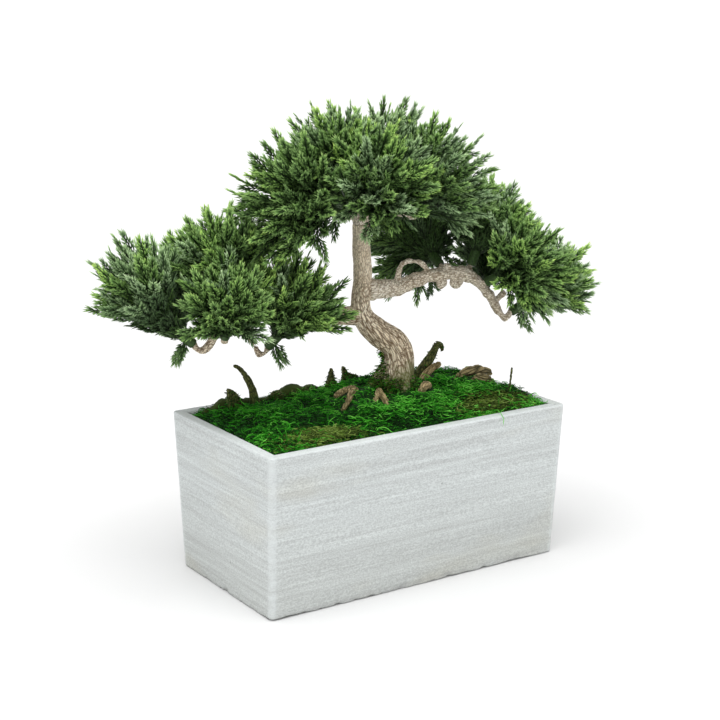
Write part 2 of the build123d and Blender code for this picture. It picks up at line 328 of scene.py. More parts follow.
def cement_material():
    """Whitewashed cast cement with fine brushed streaks, faint warm patches and pores, pale edges that are partly
    wear and partly painted highlight, painted shade towards the bottom, and dark chips with painted contact shade
    along the lower edge.
    """
    mat, shader = new_material("whitewashed_cement", roughness=0.85, specular=0.2)
    streak = object_noise(mat, 9.0, detail=8.0, stretch=(1.0, 1.0, 38.0), roughness=0.62, distortion=0.15)
    fine = object_noise(mat, 30.0, detail=6.0, stretch=(1.0, 1.0, 34.0), roughness=0.7)
    mixed = weighted(mat, streak, fine)
    wash = ramp(mat, mixed, [
        (0.36, (0.51, 0.53, 0.525)), (0.46, (0.58, 0.61, 0.605)),
        (0.55, (0.63, 0.665, 0.66)), (0.66, (0.70, 0.74, 0.735)),
    ])
    stipple = object_noise(mat, 720.0, detail=2.0, stretch=(1.0, 1.0, 1.5), roughness=0.6)
    wash = times(mat, wash, ramp(mat, stipple, [(0.36, (0.85, 0.85, 0.85)), (0.62, (1.10, 1.10, 1.10))]))
    # Painted shade: the cement darkens towards the bottom by its height.
    wash = times(mat, wash, ramp(mat, attribute(mat, "rise"), [(0.0, (0.86, 0.85, 0.83)), (0.6, (1, 1, 1))]))
    patch = object_noise(mat, 7.0, detail=3.0, stretch=(1.0, 1.0, 3.0))
    warm = ramp(mat, patch, [(0.55, (1.0, 1.0, 1.0)), (0.72, (0.97, 0.94, 0.88))])
    wash = times(mat, wash, warm)
    # Painted highlight with real wear: the rounded corners and the rim are paler.
    wash = blend_colour(mat, attribute(mat, "wear_and_highlight"), wash, (0.72, 0.76, 0.76))
    # Real chips with painted contact shade: the lower edge and its chips are darker.
    wash = blend_colour(mat, attribute(mat, "chips_and_contact_shade"), wash, (0.40, 0.41, 0.40))
    pores = node(mat, "ShaderNodeTexVoronoi", Scale=95.0)
    pores.feature = "F1"
    link(mat, node(mat, "ShaderNodeTexCoord").outputs["Object"], pores.inputs["Vector"])
    pit = ramp(mat, pores.outputs["Distance"], [(0.05, (0.5, 0.5, 0.5)), (0.11, (1, 1, 1))])
    gate = ramp(mat, object_noise(mat, 60.0, detail=1.0), [(0.62, (1, 1, 1)), (0.68, (0, 0, 0))])
    pit = blend_colour(mat, gate, pit, (1.0, 1.0, 1.0))
    link(mat, times(mat, wash, pit), shader.inputs["Base Color"])
    bump(mat, shader, weighted(mat, mixed, stipple), 0.35, 0.0009)
    return mat


def foam_material():
    mat, shader = new_material("floral_foam", roughness=0.95)
    grain = object_noise(mat, 500.0)
    link(mat, ramp(mat, grain, [(0.3, (0.03, 0.09, 0.04)), (0.7, (0.08, 0.20, 0.10))]), shader.inputs["Base Color"])
    bump(mat, shader, grain, 0.6, 0.0006)
    return mat


def steel_material():
    mat, shader = new_material("stake_steel", roughness=0.35)
    shader.inputs["Metallic"].default_value = 1.0
    scratch = object_noise(mat, 300.0, stretch=(1, 1, 0.1))
    link(mat, ramp(mat, scratch, [(0.3, (0.35, 0.35, 0.36)), (0.7, (0.6, 0.6, 0.61))]), shader.inputs["Base Color"])
    return mat


MATERIALS = {
    "foliage": foliage_material(),
    "trunk_bark": bark_material("moulded_bark", (1.0, 0.88, 0.69), (0.165, 0.105, 0.058), (0.105, 0.12, 0.03)),
    "branch_bark": bark_material("branch_bark", (1.0, 0.93, 0.79), (0.24, 0.17, 0.10)),
    "root_bark": bark_material("root_wood", (0.62, 0.49, 0.27), (0.10, 0.075, 0.03), (0.07, 0.11, 0.02)),
    "driftwood": bark_material("driftwood", (0.44, 0.36, 0.19), (0.035, 0.035, 0.012), (0.04, 0.08, 0.012)),
    "dark_bark": bark_material("mossy_bark", (0.15, 0.165, 0.05), (0.020, 0.026, 0.008), (0.04, 0.10, 0.012)),
    "moss": moss_material("curly_moss", [
        (0.0, (0.002, 0.011, 0.001)), (0.28, (0.008, 0.090, 0.003)), (0.58, (0.040, 0.38, 0.010)),
        (1.0, (0.28, 0.92, 0.12)),
    ]),
    "olive_moss": moss_material("olive_moss", [
        (0.0, (0.010, 0.018, 0.002)), (0.4, (0.060, 0.100, 0.011)), (0.7, (0.16, 0.27, 0.035)),
        (1.0, (0.38, 0.53, 0.13)),
    ]),
    "cement": cement_material(),
    "foam": foam_material(),
    "steel": steel_material(),
}


# ---------------------------------------------------------------- tubes, fingers and fronds

def ring_quads(sides, rings, closed=False):
    """Quads between rings of vertices in turn, and from the last ring to the first when closed."""
    here = np.arange(sides)
    after = (here + 1) % sides
    return np.concatenate([
        np.stack([r * sides + here, r * sides + after, q * sides + after, q * sides + here], 1)
        for r, q in ((r, (r + 1) % rings) for r in range(rings if closed else rings - 1))
    ])


def cap_tris(sides, rings):
    """Triangles that close a row of rings with the two vertices after them: one at each end."""
    here = np.arange(sides)
    after = (here + 1) % sides
    last, end = (rings - 1) * sides, rings * sides
    return np.concatenate([
        np.stack([after, here, np.full(sides, end)], 1),
        np.stack([last + here, last + after, np.full(sides, end + 1)], 1),
    ])


def tubes(paths, radii, sides, flat=1.0, reference=SKEW):
    """Closed tubes, pointed at both ends, along many paths: vertices (k, m, 3), quads and tris of one tube."""
    inner = paths[:, 1:-1]
    count, rings = inner.shape[:2]
    tangent = unit(paths[:, 2:] - paths[:, :-2])
    across = unit(np.cross(tangent, np.asarray(reference, float)))
    up = np.cross(across, tangent)
    angle = 2 * math.pi * np.arange(sides) / sides
    spoke = across[:, :, None] * np.cos(angle)[:, None] + flat * up[:, :, None] * np.sin(angle)[:, None]
    ring = inner[:, :, None] + np.broadcast_to(radii, (count, rings))[:, :, None, None] * spoke
    verts = np.concatenate([ring.reshape(count, rings * sides, 3), paths[:, :1], paths[:, -1:]], axis=1)
    return verts, ring_quads(sides, rings), cap_tris(sides, rings)


def repeated(faces, count, stride):
    """The faces of one tube or frond, repeated for each of its copies."""
    return (faces[None] + stride * np.arange(count)[:, None, None]).reshape(-1, faces.shape[1])


FINGER_STATIONS = np.array([0.0, 0.22, 0.64, 1.0])
FINGER_WIDTH = 0.00060
FINGER_PAIRS, FORKED_PAIRS = 10, 7
FROND_STEM, FROND_LENGTH = 0.0150, 0.021
# Where a frond's outline starts across and along it, and how far it runs, for its place in the UV layer.
FROND_START, FROND_SPAN = (-0.012, -0.003), 0.027


def frond_template(seed):
    """A flat cedar frond along +Z: pointed fingers in V pairs on a stem, the lower ones forked."""
    rng = np.random.default_rng(seed)
    starts, ways, lengths = [], [], []

    def finger(start, lean, length, lift=0.0):
        starts.append(start)
        ways.append((math.sin(lean), math.sin(lift), math.cos(lean)))
        lengths.append(length)

    side = 1
    for k in range(FINGER_PAIRS):
        lean = side * math.radians(rng.uniform(24, 33) - 7 * k / FINGER_PAIRS)
        length = MM * rng.uniform(6.4, 8.6) * (1.0 - 0.2 * k / FINGER_PAIRS)
        root = UP * FROND_STEM * (0.04 + 0.96 * k / FINGER_PAIRS)
        finger(root, lean, length, rng.uniform(-0.25, 0.25))
        if k < FORKED_PAIRS:
            fork = root + 0.45 * length * np.array([math.sin(lean), 0, math.cos(lean)])
            finger(fork, lean - side * math.radians(22), length * 0.72, rng.uniform(-0.3, 0.3))
            outer = fork * np.array([0.8, 1, 1])
            finger(outer, lean + side * math.radians(17), length * 0.58, rng.uniform(-0.3, 0.3))
        side = -side
    for lean in (-0.30, 0.02, 0.27):
        finger(UP * FROND_STEM * 0.93, lean + rng.uniform(-0.06, 0.06), MM * rng.uniform(5.2, 6.8))
    for _ in range(4):
        lean = rng.uniform(-0.3, 0.3)
        root = UP * FROND_STEM * rng.uniform(0.1, 0.7)
        finger(root, lean, MM * rng.uniform(5, 6), rng.choice([-1, 1]) * 0.6)
    starts, ways, lengths = np.array(starts), unit(np.array(ways)), np.array(lengths)
    paths = starts[:, None] + ways[:, None] * lengths[:, None, None] * FINGER_STATIONS[:, None]
    curl = np.array([0, 0, 0.16]) * lengths[:, None, None] * (FINGER_STATIONS ** 2)[:, None]
    radii = FINGER_WIDTH * np.array([0.72, 1.0]) * rng.uniform(0.85, 1.12, (len(starts), 1))
    verts, quads, tris = tubes(paths + curl, radii, 3, flat=0.7, reference=(0, 1, 0))
    stem_path = np.outer([-0.002, 0, FROND_STEM * 0.5, FROND_STEM * 0.98, FROND_STEM * 1.05], UP)[None]
    stalk, stalk_quads, stalk_tris = tubes(stem_path, MM * np.array([0.42, 0.48, 0.4]), 4, reference=(0, 1, 0))
    count, each = verts.shape[:2]
    # Painted shade: each finger darkens towards its root, and the frond towards its base.
    shade = np.tile(np.concatenate([np.repeat([0.10, 0.66], 3), [0.0, 1.0]]), count)
    rise = verts[:, :, 2].ravel() / verts[:, :, 2].max()
    shade = np.clip(0.68 * shade + 0.32 * rise, 0, 1)
    return {
        "verts": np.concatenate([verts.reshape(-1, 3), stalk[0]]),
        "quads": np.concatenate([repeated(quads, count, each), stalk_quads + count * each]),
        "tris": np.concatenate([repeated(tris, count, each), stalk_tris + count * each]),
        "shade": np.concatenate([shade, np.full(stalk.shape[1], 0.05)]),
    }


TEMPLATES = [frond_template(seed) for seed in range(6)]


def crosswise(axis):
    """Two directions square to an axis and to each other."""
    across = unit(np.cross(axis, SKEW))
    return across, np.cross(axis, across)


class Foliage:
    """Gathers fronds, stems and sockets into one mesh, with each frond's tone and frost."""

    def __init__(self, seed):
        self.rng = np.random.default_rng(seed)
        self.verts, self.quads, self.tris, self.tone, self.frost, self.uv = [], [], [], [], [], []
        self.count = 0

    def add(self, verts, quads, tris, tone, frost, uv):
        self.verts.append(verts)
        self.quads.append(quads + self.count)
        self.tris.append(tris + self.count)
        self.tone.append(np.broadcast_to(tone, len(verts)))
        self.frost.append(np.broadcast_to(frost, len(verts)))
        self.uv.append(uv)
        self.count += len(verts)

    def frond(self, base, way, normal, scale, low, high, frost):
        """One frond from base, pointing along way and flat across normal, with tones from low to high at its tips."""
        template = TEMPLATES[self.rng.integers(len(TEMPLATES))]
        way = unit(way)
        side = unit(np.cross(way, normal))
        face = np.cross(side, way)
        local = template["verts"] * np.array([self.rng.choice([-1.0, 1.0]), 1.0, 1.0])
        cup = 9.0 * local[:, 0] ** 2 + self.rng.uniform(-7, 7) * local[:, 2] ** 2
        verts = base + scale * (local[:, :1] * side + (local[:, 1] + cup)[:, None] * face + local[:, 2:] * way)
        uv = 0.08 + 0.84 * (template["verts"][:, [X, Z]] - FROND_START) / FROND_SPAN
        tone = low + (high - low) * template["shade"]
        self.add(verts, template["quads"], template["tris"], tone, frost, np.clip(uv, 0.05, 0.95))

    def stem(self, path, radius, tone=0.12):
        verts, quads, tris = tubes(path[None], np.linspace(1.15, 0.8, len(path) - 2) * radius, 5)
        uv = np.stack([np.linspace(0.1, 0.9, verts.shape[1]), np.full(verts.shape[1], 0.5)], 1)
        self.add(verts[0], quads, tris, tone, 0.0, uv)

    def socket(self, foot, axis, profile, sides=20, tone=0.13):
        """A turned sleeve: profile is (distance along the axis, radius) round its wall, inside and out."""
        across, up = crosswise(axis)
        angle = 2 * math.pi * np.arange(sides) / sides
        spoke = across * np.cos(angle)[:, None] + up * np.sin(angle)[:, None]
        rows = len(profile)
        quads = ring_quads(sides, rows, closed=True)
        verts = np.concatenate([foot + d * axis + r * spoke for d, r in profile])
        wobble = self.rng.uniform(-0.03, 0.03, len(verts))
        uv = np.stack([np.tile(np.linspace(0.1, 0.9, sides), rows), np.repeat(np.linspace(0.1, 0.9, rows), sides)], 1)
        self.add(verts, quads, np.zeros((0, 3), int), tone + wobble, 0.12, uv)

    def build(self, name):
        verts = np.concatenate(self.verts)
        obj = mesh_object(name, verts, np.concatenate(self.quads), np.concatenate(self.tris))
        point_values(obj, "tone", np.clip(np.concatenate(self.tone), 0, 1))
        point_values(obj, "frost", np.clip(np.concatenate(self.frost), 0, 1))
        grid = math.ceil(math.sqrt(len(self.uv)))
        vertex_uv(obj, np.concatenate([uv + [k % grid, k // grid] for k, uv in enumerate(self.uv)]) / grid)
        return obj


def vertex_uv(obj, uv):
    """A UV layer named OFBake, with a place for each vertex."""
    layer = obj.data.uv_layers.new(name="OFBake")
    index = np.empty(len(obj.data.loops), np.int32)
    obj.data.loops.foreach_get("vertex_index", index)
    layer.data.foreach_set("uv", np.asarray(uv, np.float32)[index].ravel())


# ---------------------------------------------------------------- the sprays

STEMS, STEM_RADIUS = 38, 0.00052
FRONDS_ON_A_STEM = 9
# How far along the axis the stems leave the socket, and how far short of the spray's surface they end.
STEM_START, STEM_SHORT = 0.0115, 0.0165
# How far each spray's fronds reach and spread beside its CAD solid, and the way that its stems lean.
PLAIN_FORM = (1.0, 1.22, (0.0, 0.0, 0.10))
SPRAY_FORMS = {
    "spray_left_outer": (1.07, 1.08, (-0.08, 0.0, 0.32)),
    "spray_left_front": (0.98, 1.25, (0.0, 0.0, 0.28)),
    "spray_left_back": (1.05, 1.25, (-0.10, 0.0, 0.16)),
    "spray_left_top": (1.10, 1.45, (-0.13, -0.06, 0.04)),
    "spray_left_inner": (1.06, 1.35, (-0.17, 0.0, 0.16)),
    "spray_crown_left": (1.03, 1.50, (0.06, -0.10, -0.10)),
    "spray_crown_front": (1.0, 1.60, (-0.04, 0.04, -0.06)),
    "spray_crown_right": (1.0, 1.52, (-0.12, 0.02, 0.04)),
    "spray_crown_top_left": (0.95, 1.45, (-0.02, -0.10, 0.0)),
    "spray_crown_top_right": (0.98, 1.55, (0.10, -0.12, -0.02)),
    "spray_right_back": (1.0, 1.60, (-0.06, 0.0, -0.08)),
    "spray_right_outer": (1.0, 1.22, (0.0, 0.0, 0.20)),
    "spray_right_top": (1.02, 1.40, (0.02, 0.0, 0.0)),
    "spray_right_back_outer": (1.06, 1.25, (0.0, 0.0, 0.12)),
    "spray_right_front": (1.04, 1.38, (-0.10, 0.0, -0.08)),
}
# How many loose fronds hang down round these sprays' sockets.
STRAY_FRONDS = {"spray_left_outer": 3, "spray_left_inner": 2, "spray_crown_left": 2, "spray_right_outer": 2}
SOCKET_PROFILE = [(MM * d, MM * r) for d, r in (
    (0.4, 1.72), (0.4, 2.9), (0.9, 3.45), (2.0, 3.6), (9.0, 3.7), (11.5, 3.9), (13.0, 3.5), (13.4, 1.0),
    (10.8, 0.9), (10.6, 1.66),
)]
# The share of a spray's stems that are lime and that are frosted. Patches of noise make neighbours alike.
PLAIN_TINT = (0.10, 0.25)
SPRAY_TINTS = {
    "spray_left_outer": (0.05, 0.75), "spray_left_top": (0.30, 0.15), "spray_left_front": (0.15, 0.15),
    "spray_left_inner": (0.25, 0.20), "spray_crown_left": (0.20, 0.15), "spray_crown_front": (0.20, 0.35),
    "spray_crown_top_left": (0.15, 0.55), "spray_crown_top_right": (0.05, 0.60), "spray_crown_right": (0.05, 0.50),
    "spray_right_front": (0.30, 0.25), "spray_right_outer": (0.15, 0.40),
}
TINT_PATCH, TINT_SCALE = 1.6, 45.0
# Loose and hanging fronds lie flat towards the front left.
HANGING_FACE = np.array([-0.5, -0.8, 0.2])
SKIRT_FRONDS = 13
# The space kept open in front of the crown's low twig reaches this far left and right of the twig's end,
# below and above the trunk's top, and behind the trunk's middle.
WINDOW_LEFT, WINDOW_RIGHT, WINDOW_BELOW, WINDOW_ABOVE, WINDOW_BACK = (MM * v for v in (46, 3, 22, 14, 2))


def twig_window():
    """The open space's lowest and highest corners."""
    trunk_top, twig_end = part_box("trunk")[1].z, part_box("crown_branch")[1].x
    return np.array([
        (twig_end - WINDOW_LEFT, CAD_BOX[0][1], trunk_top - WINDOW_BELOW),
        (twig_end + WINDOW_RIGHT, WINDOW_BACK, trunk_top + WINDOW_ABOVE),
    ])


TWIG_WINDOW = twig_window()


def spray_measures(node_name):
    """A spray's foot, axis, length and head radius, read from its joint and its CAD solid."""
    joint = JOINTS[node_name]
    foot, axis = np.array(joint["pos_m"]), unit(np.array(joint["axis"]))
    offset = coordinates(NODES[node_name]) - foot
    along = offset @ axis
    radial = np.linalg.norm(offset - along[:, None] * axis, axis=1)
    return foot, axis, along.max(), radial.max()


def in_twig_window(base, way, scale):
    tip = base + FROND_LENGTH * scale * unit(way)
    return bool(((tip > TWIG_WINDOW[0]) & (tip < TWIG_WINDOW[1])).all())


def make_spray(node_name, seed):
    """Stems fanning from the socket to the head's surface, each with fronds along its outer half."""
    foot, axis, length, radius = spray_measures(node_name)
    leaf = Foliage(seed)
    rng = leaf.rng
    across, other = crosswise(axis)
    leaf.socket(foot, axis, SOCKET_PROFILE)
    reach_share, spread, lean = SPRAY_FORMS.get(node_name, PLAIN_FORM)
    widest = spread * math.atan2(radius, length - 0.85 * radius)
    rim = math.hypot(radius, length - 0.85 * radius)
    for k in range(STEMS):
        share = math.sqrt((k + 0.5) / STEMS)
        tilt = widest * share * rng.uniform(0.92, 1.05)
        turn = GOLDEN_TURN * k + rng.uniform(-0.2, 0.2)
        spoke = across * math.cos(turn) + other * math.sin(turn)
        way = unit(axis * math.cos(tilt) + spoke * math.sin(tilt) + np.array(lean))
        reach = reach_share * (length + (rim - length) * share ** 2) * rng.uniform(0.95, 1.03)
        start = foot + STEM_START * axis + 0.0021 * share * spoke
        end = foot + (reach - STEM_SHORT) * way
        t = np.linspace(0, 1, 9)[:, None]
        path = start + (end - start) * t + axis * 0.07 * length * np.sin(math.pi * t) * share
        path = path + rng.normal(0, 0.0006, 3) * np.sin(2 * math.pi * t)
        leaf.stem(np.concatenate([start[None] - 0.002 * axis, path, path[-1:] + 0.002 * way]), STEM_RADIUS)
        spray_fronds(leaf, path, spoke, share, foot + reach * way, SPRAY_TINTS.get(node_name, PLAIN_TINT))
    # Skirt fronds round the socket get low tones: painted shade inside the spray.
    for k in range(SKIRT_FRONDS):
        turn = GOLDEN_TURN * k
        spoke = across * math.cos(turn) + other * math.sin(turn)
        way = axis + rng.uniform(0.45, 1.0) * spoke + 0.15 * UP
        base = foot + rng.uniform(0.009, 0.0135) * axis + 0.003 * spoke
        leaf.frond(base, way, spoke, rng.uniform(0.7, 0.95), 0.0, 0.36, 0.2)
    outward = unit(axis * [1, 1, 0])
    for turn in np.linspace(-0.5, 0.5, STRAY_FRONDS.get(node_name, 0)):
        way = 0.45 * outward + 0.9 * turn * np.cross(UP, outward) - UP
        leaf.frond(foot + 0.008 * axis - 0.002 * UP, way, HANGING_FACE, 1.0, 0.08, 0.5, 0.35)
    placed(leaf.build(node_name + "_foliage"), node_name, MATERIALS["foliage"])


def spray_fronds(leaf, path, spoke, share, tip, tint):
    """Fronds in turn round one stem, and one at its tip."""
    rng = leaf.rng
    first = rng.uniform(0, 2 * math.pi)
    patch = TINT_PATCH * noise.noise(Vector(tip * TINT_SCALE))
    lime = rng.random() < tint[0] * (1 + patch)
    frosted = rng.random() < tint[1] * (1 - patch)
    for j in range(FRONDS_ON_A_STEM + 1):
        at_tip = j == FRONDS_ON_A_STEM
        t = 1.0 if at_tip else 0.16 + 0.79 * (j + rng.uniform(-0.3, 0.3)) / FRONDS_ON_A_STEM
        place = max(t, 0.02) * (len(path) - 1)
        i = min(int(place), len(path) - 2)
        base = path[i] + (path[i + 1] - path[i]) * (place - i)
        tangent = unit(path[i + 1] - path[i])
        turn = first + GOLDEN_TURN * j
        side = unit(np.cross(tangent, [0.2, 0.5, 0.84]))
        round_stem = side * math.cos(turn) + np.cross(tangent, side) * math.sin(turn)
        lean = 0.0 if at_tip else math.radians(rng.uniform(13, 30))
        way = tangent * math.cos(lean) + round_stem * math.sin(lean) + 0.10 * UP + 0.10 * share * spoke
        normal = round_stem + 0.5 * spoke + rng.normal(0, 0.35, 3)
        # Painted shade: fronds nearer the stem's root, deeper inside the spray, are darker.
        depth = 0.30 + 0.70 * t ** 1.1
        high = depth * (rng.uniform(0.84, 1.0) if lime and t > 0.45 else rng.uniform(0.55, 0.84))
        frost = rng.uniform(0.6, 1.0) if frosted and not lime else rng.uniform(0.0, 0.25)
        scale = rng.uniform(0.80, 1.10)
        if not in_twig_window(base, way, scale):
            leaf.frond(base, way, normal, scale, 0.0, high, 0.0 if lime else frost)


def make_hanging_sprig():
    """The small dark sprig under the right branch."""
    low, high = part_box("hanging_sprig")
    top = np.array([(low.x + high.x) / 2, (low.y + high.y) / 2, high.z])
    drop = high.z - low.z
    leaf = Foliage(77)
    stalk = top + np.outer(np.linspace(0, 1, 5), [0.0, 0.0, -0.45 * drop])
    leaf.stem(np.concatenate([stalk[:1] + [0, 0, 0.001], stalk]), 0.0007)
    for k, (x, y) in enumerate(((0.15, -0.1), (0.85, -0.4), (0.45, 0.2), (-0.15, 0.1))):
        way = np.array([x, y, -1.0])
        leaf.frond(stalk[k], way, HANGING_FACE + leaf.rng.normal(0, 0.3, 3), 0.56, 0.03, 0.28, 0.3)
    placed(leaf.build("hanging_sprig_foliage"), "hanging_sprig", MATERIALS["foliage"])


# ---------------------------------------------------------------- bark

def centreline(points_mm, radii_mm, stretch, fine=(1.0, 1.0), step=0.0015):
    """A grain line: even samples of a route, its radius, the cross directions and how far the grain has run."""
    points = MM * np.array(points_mm, float)
    radii = MM * np.array(radii_mm, float)
    runs = np.linalg.norm(np.diff(points, axis=0), axis=1)
    lengths = np.concatenate([[0], np.cumsum(runs)])
    count = max(3, int(lengths[-1] / step))
    at = np.linspace(0, lengths[-1], count)
    centre = np.stack([np.interp(at, lengths, points[:, k]) for k in range(3)], 1)
    radius = np.interp(at, lengths, radii)
    tangent = unit(np.gradient(centre, axis=0))
    across = np.zeros_like(centre)
    direction = np.cross(tangent[0], [0.3, 0.9, 0.1])
    for k in range(count):
        direction = direction - (direction @ tangent[k]) * tangent[k]
        direction = direction / np.linalg.norm(direction)
        across[k] = direction
    fineness = np.interp(at, np.linspace(0, lengths[-1], len(fine)), fine)
    factor = np.interp(at, np.linspace(0, lengths[-1], len(stretch)), stretch) * fineness
    run = np.concatenate([[0], np.cumsum(0.5 * (factor[1:] + factor[:-1]) * np.diff(at))])
    return {"centre": centre, "radius": radius, "tangent": tangent, "across": across, "up": np.cross(tangent, across),
            "run": run, "fine": fineness}


def grain_on(points, lines):
    """For each point: where it lies in the grain of each line, and how much each line counts there."""
    places, weights = [], []
    for line in lines:
        nearest = np.empty(len(points), int)
        for a in range(0, len(points), 20000):
            gap = points[a:a + 20000, None] - line["centre"][None]
            nearest[a:a + 20000] = np.argmin(np.einsum("ijk,ijk->ij", gap, gap), axis=1)
        offset = points - line["centre"][nearest]
        run = line["run"][nearest] + np.einsum("ij,ij->i", offset, line["tangent"][nearest]) * 0.3
        x = np.einsum("ij,ij->i", offset, line["across"][nearest])
        y = np.einsum("ij,ij->i", offset, line["up"][nearest])
        fine = line["fine"][nearest]
        places.append(np.stack([x * fine, y * fine, run], 1))
        gap = np.linalg.norm(offset, axis=1) / line["radius"][nearest]
        weights.append(1.0 / np.maximum(gap, 0.3) ** 10)
    total = np.sum(weights, axis=0)
    return places, [w / total for w in weights]


# How wide the grooves are beside the plates between them.
PLATE_EDGE = 0.34


def grooves(points, lines, scale):
    """0 on the bark's plates and 1 in its grooves, which run between long plates along the grain."""
    places, weights = grain_on(points, lines)
    value = np.zeros(len(points))
    for k, (place, weight) in enumerate(zip(places, weights)):
        warp = np.stack([noise_at(place, 130.0, seed + k) for seed in (3, 9, 15)], 1)
        warped = (place + 0.0018 * warp) * scale + 7.0 * k
        cells = np.array([noise.voronoi(Vector(p))[0][:2] for p in warped])
        value += weight * (1.0 - np.clip((cells[:, 1] - cells[:, 0]) / PLATE_EDGE, 0, 1))
    return np.clip(value, 0, 1)


def knot_place():
    """The middle of the trunk's front, level with the right branch's plug."""
    plug = np.array(JOINTS["right_branch"]["pos_m"])
    co = coordinates(NODES["trunk"])
    near = co[(np.abs(co - plug)[:, [X, Z]] < MM * np.array([6, 8])).all(1)]
    return np.array([plug[X], near[:, Y].min(), plug[Z]])


KNOT = knot_place()
KNOT_RADIUS = MM * 4.4
COLLAR_AT = MM * 9.0
# The trunk's grooves fade over this stretch of its height: partly the upper bark's fewer grooves, partly painted
# light that lifts the upper trunk out of the crown's shade.
PAINTED_LIGHT_FROM, PAINTED_LIGHT_OVER = 0.185, 0.03


def knot_relief(co):
    """The trunk's oval knot: a raised ring with a groove inside it."""
    gap = np.linalg.norm((co - KNOT) * [1.0, 1.0, 0.85], axis=1)
    ring = np.exp(-((gap - KNOT_RADIUS) / (MM * 0.9)) ** 2)
    groove = np.exp(-((gap - KNOT_RADIUS + MM * 1.3) / (MM * 0.5)) ** 2)
    return MM * 1.2 * ring - MM * 0.6 * groove, groove


def collar_relief(co):
    """The right branch's collar, which swells where it meets the trunk: outward relief and a shift along the plug."""
    joint = JOINTS["right_branch"]
    axis = unit(np.array(joint["axis"]))
    along = (co - np.array(joint["pos_m"])) @ axis
    swell = np.exp(-((along - COLLAR_AT) / (MM * 1.6)) ** 2)
    back = np.clip((COLLAR_AT + MM * 1.0 - along) / (MM * 2.5), 0, 1) * (along > MM * 6.5)
    return MM * 0.9 * swell, -MM * 2.4 * back[:, None] * axis


# The trunk's foot: the stain is highest at its right, the moss at its left and back.
FOOT_CENTRE = 0.5 * (np.array(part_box("trunk_stake")[0]) + np.array(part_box("trunk_stake")[1]))[:2]
FOOT_RIGHT = np.array([0.84, -0.55])


def bark_skin(node_name, lines, voxel=0.00043, scale=680.0, depth=0.00042, lump=0.0004, material="trunk_bark",
              mossy_below=None, lift=0.0, knobble=0.0):
    """Bark round a CAD limb: an even skin with grooves along the grain, and moss stain near the ground."""
    obj = remeshed_copy(node_name, voxel, node_name + "_bark")
    relax(obj, 2)
    co, n = coordinates(obj), normals(obj)
    value = grooves(co, lines, scale)
    relief = lump * noise_at(co, 95.0, 5.0) - depth * value + 0.25 * depth + knobble * noise_at(co, 210.0, 11.0)
    shift = lift * UP
    if node_name == "trunk":
        knot, knot_groove = knot_relief(co)
        relief, value = relief + knot, np.maximum(value, knot_groove)
    if node_name == "right_branch":
        collar, shift = collar_relief(co)
        relief = relief + collar
    set_coordinates(obj, co + n * relief[:, None] + shift)
    # Painted light: the grooves fade up the trunk, lightening it under the crown's shade.
    fade = 1.0 - 0.4 * np.clip((co[:, Z] - PAINTED_LIGHT_FROM) / PAINTED_LIGHT_OVER, 0, 1) if node_name == "trunk" else 0.9
    point_values(obj, "groove", np.clip(1.15 * value, 0, 1) * fade)
    mossy = np.zeros(len(co))
    if mossy_below is not None:
        wander = 0.5 * noise_at(co, 160.0, 8.0) + 0.35 * noise_at(co, 420.0, 2.0)
        top = mossy_below + (0.5 * (co[:, :2] - FOOT_CENTRE) @ FOOT_RIGHT if node_name == "trunk" else 0.0)
        mossy = np.clip((top - co[:, Z]) / 0.012 + wander, 0, 1)
    point_values(obj, "mossy", mossy * 0.85)
    return placed(obj, node_name, MATERIALS[material])


def own_grain(node_name, stretch=0.3):
    """A straight grain line along a small piece's longest way."""
    co = coordinates(NODES[node_name])
    middle = co.mean(0)
    long_way = np.linalg.svd(co - middle, full_matrices=False)[2][0]
    along = (co - middle) @ long_way
    ends = [middle + long_way * v for v in (along.min(), 0.0, along.max())]
    spread = np.linalg.norm(co - middle - along[:, None] * long_way, axis=1).mean()
    return [centreline(np.array(ends) / MM, [spread / MM] * 3, [stretch, stretch])]


# How often a limb's middle line is smoothed.
LINE_ROUNDS = 6


def middle_line(node_name, axis, low, high, others, count=16):
    """The middle of a limb from low to high along an axis: points and mean radii, in mm.

    It is read from the solid's vertices that keep within the other limits, each (axis, least, most).
    """
    co = coordinates(NODES[node_name])
    for other, least, most in others:
        co = co[(co[:, other] > least) & (co[:, other] < most)]
    edges = np.linspace(low, high, count + 1)
    points, radii = [], []
    for a, b in zip(edges[:-1], edges[1:]):
        part = co[(co[:, axis] >= min(a, b)) & (co[:, axis] <= max(a, b))]
        if len(part) > 5:
            points.append(np.median(part, 0))
            points[-1][axis] = (a + b) / 2
            radii.append(np.linalg.norm(np.delete(part - points[-1], axis, 1), axis=1).mean())
    line = np.column_stack([points, radii]) / MM
    for _ in range(LINE_ROUNDS):
        line[1:-1] = (line[:-2] + 2 * line[1:-1] + line[2:]) / 4
    return line[:, :3], line[:, 3]


# How far each root is lifted through the moss, in mm.
ROOT_LIFTS = {
    "root_fork": 3.6, "root_vee": 5.6, "root_stub": 4.6, "root_back": 1.0,
    "driftwood_upper": 0.5, "driftwood_lower": 2.2,
}
BARK_BITS = ("bark_horn", "bark_snag", "bark_cone", "upright_twig", "bark_shard", "bark_fin", "bark_chips")


